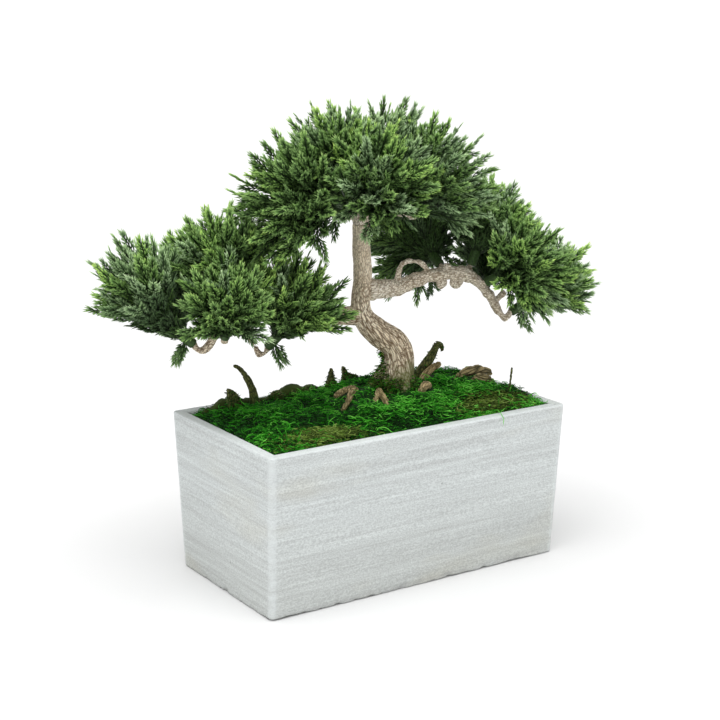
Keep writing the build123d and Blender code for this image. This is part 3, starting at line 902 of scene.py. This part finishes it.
def make_limbs():
    """The trunk and both branches, with grain along lines read from their solids. Returns the trunk."""
    plug = JOINTS["right_branch"]["pos_m"]
    axis = KNOT[X]
    trunk_low, trunk_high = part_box("trunk")
    branch_low, branch_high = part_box("right_branch")
    crown_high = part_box("crown_branch")[1]
    upright = middle_line("trunk", Z, trunk_low.z, trunk_high.z, [(X, axis - MM * 12, 1)], 20)
    limb_height = (Z, plug[Z] - MM * 40, plug[Z] - MM * 6)
    limb = middle_line("trunk", X, axis - MM * 4, trunk_low.x, [limb_height])
    branch = middle_line("right_branch", X, branch_low.x, branch_high.x, [])
    leader = middle_line("crown_branch", Z, trunk_high.z, crown_high.z, [(X, -1, axis + MM * 8)], 4)
    twig = middle_line("crown_branch", X, axis + MM * 6, crown_high.x, [], 8)
    trunk = bark_skin("trunk", [
        centreline(*upright, [0.11, 0.11, 0.12, 0.20, 0.42, 0.5], [1.0, 1.0, 1.0, 1.2, 1.5, 1.55]),
        centreline(*limb, [0.2, 0.35, 0.35], [1.15, 1.35, 1.35]),
    ], mossy_below=FOOT_GROUND + MM * 21)
    bark_skin("right_branch", [centreline(*branch, [0.4, 0.4], [1.35, 1.35])], voxel=0.00045, lump=0.0012,
              knobble=0.0010, depth=0.0003, material="branch_bark")
    bark_skin("crown_branch", [
        centreline(*leader, [0.5, 0.5], [1.7, 1.7]), centreline(*twig, [0.3, 0.3], [1.5, 1.5]),
    ], voxel=0.00045, lump=0.0009, knobble=0.0006, material="branch_bark")
    return trunk


def make_bark():
    """The trunk, both branches, the roots and the bark bits. Returns those that moss grows on, by node name."""
    barks = {"trunk": make_limbs()}
    rough = MM * 0.5
    for root, lift in ROOT_LIFTS.items():
        low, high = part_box(root)
        wood = "driftwood" if root.startswith("driftwood") else "root_bark"
        scale, depth = (380.0, 0.0012) if wood == "driftwood" else (620.0, 0.0006)
        bark_skin(root, own_grain(root, 0.12), voxel=0.0004, scale=scale, depth=depth, lump=rough, knobble=rough,
                  material=wood, mossy_below=low.z + 0.4 * (high.z - low.z) + MM * lift, lift=MM * lift)
    for bit in BARK_BITS:
        barks[bit] = bark_skin(bit, own_grain(bit, 0.5), voxel=0.0004, scale=600.0, depth=0.0004, lump=0.0010,
                               material="dark_bark", mossy_below=GROUND + MM * 14)
    return barks


# ---------------------------------------------------------------- moss

MOSS_DENSITY = 0.46 / MM ** 2
STRAND_RINGS = 5


def surface_samples(obj, count, rng, lowest=-1.0, facing=0.12, highest=1.0):
    """Random points on the skin of a mesh where it faces up enough, with the normals there."""
    obj.data.calc_loop_triangles()
    tris = np.empty(len(obj.data.loop_triangles) * 3, np.int32)
    obj.data.loop_triangles.foreach_get("vertices", tris)
    corner = coordinates(obj)[tris.reshape(-1, 3)]
    cross = np.cross(corner[:, 1] - corner[:, 0], corner[:, 2] - corner[:, 0])
    area = 0.5 * np.linalg.norm(cross, axis=1)
    normal = unit(cross)
    height = corner[:, :, Z].mean(1)
    seen = (normal[:, Z] > facing) & (height > lowest) & (height < highest)
    area = area * seen
    if count is None:
        count = int(area.sum() * MOSS_DENSITY)
    pick = rng.choice(len(area), count, p=area / area.sum())
    a, b = rng.random((2, count))
    flip = a + b > 1
    a[flip], b[flip] = 1 - a[flip], 1 - b[flip]
    c = corner[pick]
    return c[:, 0] + a[:, None] * (c[:, 1] - c[:, 0]) + b[:, None] * (c[:, 2] - c[:, 0]), normal[pick]


def curly_strands(roots, lean, rng, length=(0.006, 0.0125), radius=(0.00020, 0.00036), rise=0.5, curl=0.75,
                  shorter=1.0):
    """Fine curling strands from each root: paths and radii."""
    count = len(roots)
    steps = STRAND_RINGS + 1
    heading = rng.uniform(0, 2 * math.pi, count)
    climb = rng.uniform(0.1, 1.0, count) * rise
    turn = rng.normal(0, curl, count)
    step = shorter * rng.uniform(*length, count) / steps
    way = np.stack([np.cos(heading), np.sin(heading), climb], 1) + lean
    path = [roots - 0.001 * UP]
    for _ in range(steps):
        path.append(path[-1] + unit(way) * step[:, None])
        heading = heading + turn + rng.normal(0, 0.35, count)
        climb = climb - 0.28 * np.abs(rng.normal(1, 0.6, count)) * rise
        way = np.stack([np.cos(heading), np.sin(heading), climb], 1) + 0.5 * lean
    thick = rng.uniform(*radius, count)[:, None] * np.linspace(1.1, 0.75, STRAND_RINGS)
    return np.stack(path, 1), thick


def strands_object(name, paths, radii, tone):
    """One mesh of all the strands, each paler towards its tip, with its own cell in the UV layer."""
    verts, quads, tris = tubes(paths, radii, 3)
    count, each = verts.shape[:2]
    obj = mesh_object(name, verts.reshape(-1, 3), repeated(quads, count, each), repeated(tris, count, each))
    rise = np.concatenate([np.repeat(np.linspace(-0.16, 0.10, STRAND_RINGS), 3), [-0.22, 0.16]])
    point_values(obj, "tone", np.clip(tone[:, None] + rise, 0, 1).ravel())
    grid = math.ceil(math.sqrt(count))
    cell = np.stack([np.arange(count) % grid, np.arange(count) // grid], 1)
    across = np.concatenate([np.tile([0.3, 0.5, 0.7], STRAND_RINGS), [0.5, 0.5]])
    along = np.concatenate([np.repeat(np.linspace(0.3, 0.7, STRAND_RINGS), 3), [0.2, 0.8]])
    vertex_uv(obj, ((cell[:, None] + np.stack([across, along], 1)) / grid).reshape(-1, 2))
    return obj


def place_strands(name, node_name, material, paths, radii, tone):
    placed(strands_object(name, paths, radii, tone), node_name, MATERIALS[material])


def place_two_greens(name, node_name, green, paths, radii, tone):
    """Strands as two pieces: the green ones, and the rest in olive."""
    for kind, mask, material in (("green", green, "moss"), ("olive", ~green, "olive_moss")):
        place_strands(f"{name}_{kind}", node_name, material, paths[mask], radii[mask], tone[mask])


ROOTS = tuple(ROOT_LIFTS)
ROOT_CLEARING = MM * 9.0


def moss_bed(node_name, material, voxel=0.0016, rough=0.0024, dip=0.0):
    """The matted lower layer of a moss pad, which dips round the roots."""
    obj = remeshed_copy(node_name, voxel, node_name + "_bed")
    co, n = coordinates(obj), normals(obj)
    swell = noise_at(co, 130.0, 4.0) + 0.6 * noise_at(co, 330.0, 6.0)
    upward = np.clip(n[:, Z] + 0.3, 0, 1)
    near = np.clip(1 - gap_to(ROOTS, co) / ROOT_CLEARING, 0, 1)
    set_coordinates(obj, co + UP * ((rough * swell * (1 - near) - dip * near) * upward)[:, None])
    point_values(obj, "tone", np.clip(0.10 + 0.13 * swell, 0, 1))
    low, high = co.min(0), co.max(0)
    vertex_uv(obj, (co[:, :2] - low[:2]) / (high[:2] - low[:2]))
    return placed(obj, node_name, MATERIALS[material])


def gap_to(names, points):
    """How far each point is, seen from above, from the named nodes where they show above the moss."""
    spots = np.concatenate([coordinates(NODES[n]) for n in names])
    spots = spots[(spots[:, Z] > GROUND - 0.004) & (spots[:, Z] < GROUND + 0.022)]
    tree = kdtree.KDTree(len(spots))
    for k, spot in enumerate(spots):
        tree.insert(Vector((spot[0], spot[1], 0)), k)
    tree.balance()
    return np.array([tree.find(Vector((p[0], p[1], 0)))[2] for p in points])


def inside_planter(paths):
    """The paths, kept within the planter's mouth."""
    inner = planter_inside(GROUND + MM * 2)
    paths[:, :, X] = np.clip(paths[:, :, X], -inner[0], inner[0])
    paths[:, :, Y] = np.clip(paths[:, :, Y], -inner[1], inner[1])
    return paths


def make_moss_mat(node_name, seed, shade=1.0):
    """A bed with curly strands all over it, in patches of paler and darker green, and longer pale curls on top,
    partly the moss's own pale tips and partly painted highlight.
    """
    rng = np.random.default_rng(seed)
    bed = moss_bed(node_name, "moss", dip=MM * 2.6)
    roots, normal = surface_samples(bed, None, rng, GROUND - MM * 4)
    gap = gap_to(ROOTS + ("trunk",), roots)
    clear = gap > MM * 1.2
    roots, normal, gap = roots[clear], normal[clear], gap[clear]
    shorter = np.clip(gap / (MM * 11), 0.35, 1)
    paths, radii = curly_strands(roots, 0.7 * normal, rng, shorter=shorter)
    patch = 0.5 + 0.8 * noise_at(roots, 42.0, 12.0) + 0.6 * noise_at(roots, 130.0, 1.0)
    tone = np.clip(shade * (0.12 + 0.56 * patch) + rng.normal(0, 0.18, len(roots)), 0.02, 0.95)
    place_strands(node_name + "_strands", node_name, "moss", inside_planter(paths), radii, tone)
    # Paler curls on top: partly the moss's own pale tips, partly painted highlight.
    bright = rng.random(len(roots)) < 0.30 * np.clip(patch, 0.1, 1)
    paths, radii = curly_strands(roots[bright], 0.5 * normal[bright], rng, length=(0.008, 0.016),
                                 radius=(0.00022, 0.00040), rise=0.95, curl=0.6, shorter=shorter[bright])
    tone = np.clip(shade * rng.normal(0.74, 0.13, bright.sum()), 0.3, 1.0)
    place_strands(node_name + "_curls", node_name, "moss", inside_planter(paths), radii, tone)


# The share of its CAD height that an olive tuft's bed keeps, under its strands.
OLIVE_LOW = 0.5


def moss_top(points):
    """The height of the moss solids' top at each point."""
    height = np.full(len(points), GROUND)
    for name in ("moss_left", "moss_middle", "moss_right", "olive_moss_front", "olive_moss_right"):
        mesh = NODES[name].data
        tree = bvhtree.BVHTree.FromPolygons([v.co for v in mesh.vertices], [p.vertices for p in mesh.polygons])
        for k, p in enumerate(points):
            hit = tree.ray_cast(Vector((p[0], p[1], 0.4)), Vector((0, 0, -1)))[0]
            if hit is not None:
                share = OLIVE_LOW if name.startswith("olive") else 1.0
                height[k] = max(height[k], GROUND + share * (hit.z - GROUND))
    return height


def make_olive_moss(node_name, seed, count=2600):
    """Tufts of olive moss, thinning out over the green round them."""
    rng = np.random.default_rng(seed)
    bed = moss_bed(node_name, "olive_moss", voxel=0.0012, rough=0.0012)
    co = coordinates(bed)
    co[:, Z] = GROUND + OLIVE_LOW * (co[:, Z] - GROUND)
    set_coordinates(bed, co)
    low, high = (np.array(corner)[:2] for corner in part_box(node_name))
    spot = (low + high) / 2 + np.clip(rng.normal(0, 0.62, (count, 2)), -1.7, 1.7) * (high - low) / 2
    inner = np.array(planter_inside(GROUND))
    spot = np.clip(spot, -inner + MM, inner - MM)
    roots = np.column_stack([spot, moss_top(spot) + MM * 0.6])
    paths, radii = curly_strands(roots, np.tile(UP * 0.4, (count, 1)), rng, length=(0.005, 0.011), curl=0.9)
    tone = np.clip(0.50 + 0.40 * noise_at(roots, 150.0, 2.0) + rng.normal(0, 0.2, count), 0.02, 0.95)
    place_strands(node_name + "_strands", node_name, "olive_moss", inside_planter(paths), radii, tone)


def make_trunk_foot_moss(bark, seed=130):
    """Moss and brown fibres that have crept up the trunk's foot, highest at its back and left."""
    rng = np.random.default_rng(seed)
    roots, normal = surface_samples(bark, 9000, rng, FOOT_GROUND - MM * 4, facing=-0.9, highest=FOOT_GROUND + MM * 30)
    height = roots[:, Z] - FOOT_GROUND
    leftness = -unit(roots[:, :2] - FOOT_CENTRE) @ FOOT_RIGHT
    reach = MM * (9 + 14 * np.clip(leftness, 0, 1) ** 1.5) * (1 + 1.0 * noise_at(roots * [1, 1, 0.2], 170.0, 3.0))
    keep = rng.random(len(roots)) < np.clip(1.3 - height / np.maximum(reach, MM), 0, 1)
    roots, normal = roots[keep], normal[keep]
    paths, radii = curly_strands(roots, 0.25 * normal - [0, 0, 0.25], rng, length=(0.003, 0.0065), rise=-0.1)
    olive = rng.random(len(roots)) < 0.30 + 0.4 * np.clip((roots[:, Z] - FOOT_GROUND) / 0.012, 0, 1)
    tone = np.clip(rng.normal(0.40, 0.18, len(roots)), 0.05, 0.9)
    place_two_greens("foot_moss", "moss_middle", ~olive, paths, radii, tone)


def make_bit_moss(barks, seed=140):
    """Short dark moss over the bark bits, thickest near the ground."""
    rng = np.random.default_rng(seed)
    every = []
    for bark, count in barks:
        roots, normal = surface_samples(bark, count, rng, GROUND - MM * 2, facing=-0.6)
        keep = rng.random(count) < np.clip(1.3 - (roots[:, Z] - GROUND) / (MM * 20), 0.25, 1)
        every.append(np.concatenate([roots[keep], normal[keep]], 1))
    every = np.concatenate(every)
    paths, radii = curly_strands(every[:, :3], 0.9 * every[:, 3:], rng, length=(0.0012, 0.0032), rise=0.1,
                                 radius=(0.0002, 0.0004))
    green = rng.random(len(every)) < 0.55
    tone = np.clip(rng.normal(0.27, 0.13, len(every)), 0.03, 0.8)
    place_two_greens("bit_moss", "moss_left", green, paths, radii, tone)


# Long single strands that stand up: their place as a share of the planter's mouth, and their height in mm.
UPRIGHT_WISPS = [(0.65, -0.9, 11), (0.9, -0.85, 9), (-0.85, -0.8, 14), (-0.8, -0.85, 13), (-0.6, 0.15, 13)]
# The strand over the front rim: its place along the rim as a share of the mouth.
RIM_WISP = 0.57
RIDGE_RINGS, RIDGE_SIDES = 150, 22
# Where the ridge starts along and up, and how far it runs, for its place in the UV layer.
RIDGE_START, RIDGE_SPAN = (-0.115, 0.105), (0.12, 0.03)


def make_back_ridge(seed=150):
    """A lumpy ridge of dark olive moss along the back rim, with short curls on it."""
    rng = np.random.default_rng(seed)
    mouth = planter_inside(GROUND)
    t = np.linspace(0, 1, RIDGE_RINGS + 2)
    x = MM * 3 - mouth[0] + t * (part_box("bark_cone")[0].x + mouth[0])
    bump = np.clip(t / 0.22, 0, 1) * (1 + 0.8 * noise_at(np.outer(x, [1, 0, 0]), 62.0, 4.0))
    path = np.stack([x, np.full(len(x), mouth[1] - MM * 7), GROUND + MM * 4.5 * bump, MM * (2 + 3 * bump)], 1)
    verts, quads, tris = tubes(path[None, :, :3], path[None, 1:-1, 3], RIDGE_SIDES)
    ridge = mesh_object("back_ridge", verts[0], quads, tris)
    co, n = coordinates(ridge), normals(ridge)
    swell = noise_at(co, 140.0, 3.0) + 0.6 * noise_at(co, 340.0, 5.0)
    moved = co + n * (MM * 1.6 * swell)[:, None]
    moved[:, Y] = np.minimum(moved[:, Y], mouth[1] - MM * 0.3)
    set_coordinates(ridge, moved)
    point_values(ridge, "tone", np.clip(0.26 + 0.16 * swell, 0, 1))
    vertex_uv(ridge, np.clip((co[:, [X, Z]] - RIDGE_START) / RIDGE_SPAN, 0, 1))
    placed(ridge, "moss_left", MATERIALS["olive_moss"])
    roots, normal = surface_samples(ridge, 5200, rng, facing=-0.35)
    paths, radii = curly_strands(roots, 0.5 * normal, rng, length=(0.0025, 0.0055), rise=0.1,
                                 radius=(0.00022, 0.00042))
    green = rng.random(len(roots)) < 0.35
    tone = np.clip(0.34 + 0.22 * noise_at(roots, 120.0, 5.0) + rng.normal(0, 0.15, len(roots)), 0.03, 0.8)
    place_two_greens("back_ridge", "moss_left", green, paths, radii, tone)


def make_wisps():
    """Single long strands that stand up or fall over the rim."""
    mouth = np.array(planter_inside(GROUND))
    t = np.linspace(0, 1, STRAND_RINGS + 2)
    paths = []
    for k, (x, y, height) in enumerate(UPRIGHT_WISPS):
        lean = MM * (3.0 if k % 2 else -2.5)
        paths.append(np.stack([x * mouth[0] + lean * t ** 2, y * mouth[1] - MM * 2 * t, GROUND + MM * height * t], 1))
    over = np.clip(t / 0.65, 0, 1)
    start, end = mouth[1] - MM * 4, outer_half(PLANTER_HEIGHT)[1] + MM * 2.2
    height = PLANTER_HEIGHT + MM * (4 * np.sin(math.pi * over) - 1) - MM * 6 * np.clip((t - 0.65) / 0.35, 0, 1)
    paths.append(np.stack([RIM_WISP * mouth[0] - MM * t, -(start + (end - start) * over), height], 1))
    radii = MM * np.linspace(0.38, 0.26, STRAND_RINGS) * np.ones((len(paths), 1))
    tone = np.linspace(0.40, 0.72, len(paths))
    place_strands("moss_wisps", "moss_middle", "moss", np.array(paths), radii, tone)


def make_moss(barks):
    for k, (name, shade) in enumerate((("moss_left", 0.78), ("moss_middle", 1.0), ("moss_right", 1.0))):
        make_moss_mat(name, 100 + k, shade)
    make_olive_moss("olive_moss_front", 110)
    make_olive_moss("olive_moss_right", 111)
    make_trunk_foot_moss(barks["trunk"])
    counts = {"bark_snag": 700, "bark_cone": 700, "bark_shard": 700, "bark_fin": 700, "bark_chips": 1800}
    make_bit_moss([(barks[name], count) for name, count in counts.items()])
    make_back_ridge()
    make_wisps()


# ---------------------------------------------------------------- the planter

PLANTER_CO = np.abs(coordinates(NODES["planter"]))
TOP_HALF = tuple(PLANTER_CO.max(0)[:2])
FOOT_HALF = tuple(PLANTER_CO[PLANTER_CO[:, 2] < MM].max(0)[:2])
END_WALL, SIDE_WALL, FLOOR = 0.008, 0.010, 0.010
CORNER, INNER_CORNER = 0.003, 0.0018
RIM_ROUND = 0.0012
GRID_STEP = 0.0018
# Chips eat into the lower edge up to this height.
CHIP_HEIGHT = 0.005
# The stretches of the planter's section, from the underside round the outside and into the mouth.
UNDER, EDGE, WALL, RIM, INSIDE, BOTTOM = range(6)


def outer_half(z):
    share = min(max(z / PLANTER_HEIGHT, 0.0), 1.0)
    return [f + (t - f) * share for f, t in zip(FOOT_HALF, TOP_HALF)]


def planter_inside(z):
    """Half the length and half the width of the planter's mouth at a height."""
    x, y = outer_half(z)
    return x - END_WALL, y - SIDE_WALL


def rounded_outline(half_x, half_y, corner):
    """Points round a rounded rectangle, as many for each size: places, outward ways and nearness to a corner."""
    points, ways, near = [], [], []
    straight_x, straight_y = int(0.24 / GRID_STEP), int(0.13 / GRID_STEP)
    arc = 7
    for side in range(4):
        angle = side * math.pi / 2
        out = np.array([math.cos(angle), math.sin(angle)])
        along = np.array([-out[1], out[0]])
        reach, run = (half_x, half_y) if side % 2 == 0 else (half_y, half_x)
        count = straight_y if side % 2 == 0 else straight_x
        for t in np.linspace(-1, 1, count):
            points.append(out * reach + along * t * (run - corner))
            ways.append(out)
            near.append(math.exp(-(1 - abs(t)) * (run - corner) / 0.0012))
        centre = out * (reach - corner) + along * (run - corner)
        for k in range(1, arc):
            a = angle + k / arc * math.pi / 2
            ways.append(np.array([math.cos(a), math.sin(a)]))
            points.append(centre + corner * ways[-1])
            near.append(1.0)
    return np.array(points), np.array(ways), np.array(near)


def planter_profile():
    """Rows along the section, from the underside's middle to the bottom inside: height, inset and stretch."""
    rows = [(0.0, s, UNDER) for s in (0.04, 0.03, 0.02, 0.012, 0.006, 0.003)]
    rows += [(0.0, 0.0012, EDGE), (0.0006, 0.0003, EDGE)]
    rows += [(z, 0.0, WALL) for z in np.arange(0.0014, PLANTER_HEIGHT - RIM_ROUND, 0.00105)]
    for k in range(5):
        a = k / 4 * math.pi / 2
        rows.append((PLANTER_HEIGHT - RIM_ROUND * (1 - math.sin(a)), RIM_ROUND * (1 - math.cos(a)), RIM))
    rows += [(PLANTER_HEIGHT, s, RIM) for s in (0.0028, 0.0044, 0.0060, 0.0068)]
    rows += [(z, 1.0, INSIDE) for z in np.linspace(PLANTER_HEIGHT - 0.0009, FLOOR, 46)]
    rows += [(FLOOR, 1.0 + s, BOTTOM) for s in (0.01, 0.02, 0.03, 0.04)]
    return rows


def make_planter():
    """The cast planter on a fine grid, with brushed striations, lumps and chips along the lower edge, which is
    darkened with painted contact shade.
    """
    rows = planter_profile()
    verts, wear_and_highlight, chips_and_contact_shade, part_of = [], [], [], []
    for z, inset, part in rows:
        x, y = outer_half(z)
        if inset >= 1.0:
            x, y = x - END_WALL - (inset - 1.0), y - SIDE_WALL - (inset - 1.0)
            inset = 0.0
        points, ways, near = rounded_outline(x, y, CORNER if part < INSIDE else INNER_CORNER)
        points = points - inset * ways
        verts.append(np.column_stack([points, np.full(len(points), z)]))
        wear_and_highlight.append(near if part in (WALL, EDGE) else np.full(len(near), 1.0 if part == RIM else 0.15))
        chips_and_contact_shade.append(np.full(len(near), 1.0 if part == EDGE else 0.0))
        part_of.append(np.full(len(near), part))
    columns = len(verts[0])
    verts = np.concatenate(verts + [[[0, 0, 0], [0, 0, FLOOR]]])
    obj = mesh_object("planter_cast", verts, ring_quads(columns, len(rows)), cap_tris(columns, len(rows)))
    part_of = np.concatenate(part_of + [[UNDER, BOTTOM]])
    weather_planter(obj, part_of, np.concatenate(wear_and_highlight + [[0, 0]]), np.concatenate(chips_and_contact_shade + [[0, 0]]))
    placed(obj, "planter", MATERIALS["cement"])


def weather_planter(obj, part_of, wear_and_highlight, chips_and_contact_shade):
    """Brush relief on the walls, dents on the rim and small chips along the lower edge."""
    co, n = coordinates(obj), normals(obj)
    streak = noise_at(co * [1, 1, 22], 16.0, 1.0) + 0.7 * noise_at(co * [1, 1, 22], 45.0, 2.0)
    lump = noise_at(co, 55.0, 3.0)
    wall = np.isin(part_of, (WALL, INSIDE))
    push = wall * (0.00007 * streak + 0.00014 * lump) + (part_of == RIM) * 0.00014 * noise_at(co, 240.0, 5.0)
    chip = np.clip(noise_at(co, 130.0, 7.0) + 0.55 * noise_at(co, 420.0, 8.0) - 0.15, 0, 1)
    low = np.isin(part_of, (EDGE, WALL)) & (co[:, Z] < CHIP_HEIGHT)
    fade = np.clip(1 - co[:, Z] / CHIP_HEIGHT, 0, 1)
    moved = co + n * (push - low * chip * fade * 0.0026)[:, None]
    inset = np.minimum(outer_half(0)[0] - np.abs(co[:, X]), outer_half(0)[1] - np.abs(co[:, Y]))
    gap = np.clip(noise_at(co * [1, 1, 0], 26.0, 10.0) + 0.5 * noise_at(co * [1, 1, 0], 110.0, 13.0), 0, 1) * MM * 2.2
    near_foot = (part_of <= WALL) * fade * np.clip(1 - inset / 0.008, 0, 1)
    moved[:, Z] = np.maximum(np.where(part_of == UNDER, 0.0, moved[:, Z]), 0.0) + near_foot * gap
    set_coordinates(obj, moved)
    ragged = 0.75 + 0.5 * noise_at(co, 210.0, 9.0)
    # Paler rounded corners and rim: partly wear, partly painted highlight.
    point_values(obj, "wear_and_highlight", np.clip(wear_and_highlight * ragged, 0, 1) * 0.6)
    # Height, which the cement uses for painted shade towards the bottom.
    point_values(obj, "rise", np.clip(co[:, Z] / PLANTER_HEIGHT, 0, 1))
    # The lower edge and its chips, darkened for the chips and as painted contact shade.
    point_values(obj, "chips_and_contact_shade", np.clip(chips_and_contact_shade * 0.5 + low * chip * fade * 1.4, 0, 1))


# ---------------------------------------------------------------- the rest

def dress_cad(node_name, material):
    """A CAD node that stays shown, in its better material."""
    obj = NODES[node_name]
    for s in obj.material_slots:
        s.link = "OBJECT"
        s.material = material


SKY_STRENGTH = 0.80
SUN_STRENGTH = 2.0
SUN_FROM = (-0.20, -0.22, 1.0)


def make_floor():
    bpy.ops.mesh.primitive_plane_add(size=400)
    floor = bpy.context.object
    floor.name = "floor"
    mat, shader = new_material("pale_floor", roughness=0.9, specular=0.1)
    shader.inputs["Base Color"].default_value = (0.78, 0.78, 0.78, 1)
    floor.data.materials.append(mat)


def make_sun():
    """A wide, soft sun, so that the floor is evenly lit as far as it goes."""
    data = bpy.data.lights.new("sun", "SUN")
    data.energy = SUN_STRENGTH
    data.angle = math.radians(50)
    sun = bpy.data.objects.new("sun", data)
    sun.rotation_euler = Vector(SUN_FROM).to_track_quat("Z", "Y").to_euler()
    bpy.context.scene.collection.objects.link(sun)


def make_lights():
    world = bpy.data.worlds.new("studio")
    bpy.context.scene.world = world
    world.use_nodes = True
    world.node_tree.nodes["Background"].inputs["Color"].default_value = (1, 1, 1, 1)
    world.node_tree.nodes["Background"].inputs["Strength"].default_value = SKY_STRENGTH
    make_sun()


# The camera stands at the front left, a little above the planter.
CAMERA_AZIMUTH, CAMERA_ELEVATION = math.radians(-33.31), math.radians(13.71)
CAMERA_DISTANCE, CAMERA_TARGET, LENS = 1.113, Vector((-0.0087, 0.0, 0.1511)), 78.4


def make_camera():
    data = bpy.data.cameras.new("camera")
    data.lens = LENS
    camera = bpy.data.objects.new("camera", data)
    flat = math.cos(CAMERA_ELEVATION)
    back = Vector((math.sin(CAMERA_AZIMUTH) * flat, -math.cos(CAMERA_AZIMUTH) * flat, math.sin(CAMERA_ELEVATION)))
    camera.location = CAMERA_TARGET + back * CAMERA_DISTANCE
    camera.rotation_euler = (-back).to_track_quat("-Z", "Y").to_euler()
    bpy.context.scene.collection.objects.link(camera)
    bpy.context.scene.camera = camera


def main():
    make_planter()
    dress_cad("foam_block", MATERIALS["foam"])
    dress_cad("trunk_stake", MATERIALS["steel"])
    barks = make_bark()
    make_moss(barks)
    for k, name in enumerate(SPRAYS):
        make_spray(name, 500 + k)
    make_hanging_sprig()
    make_floor()
    make_lights()
    make_camera()
    bpy.context.scene.view_settings.view_transform = "Standard"


main()
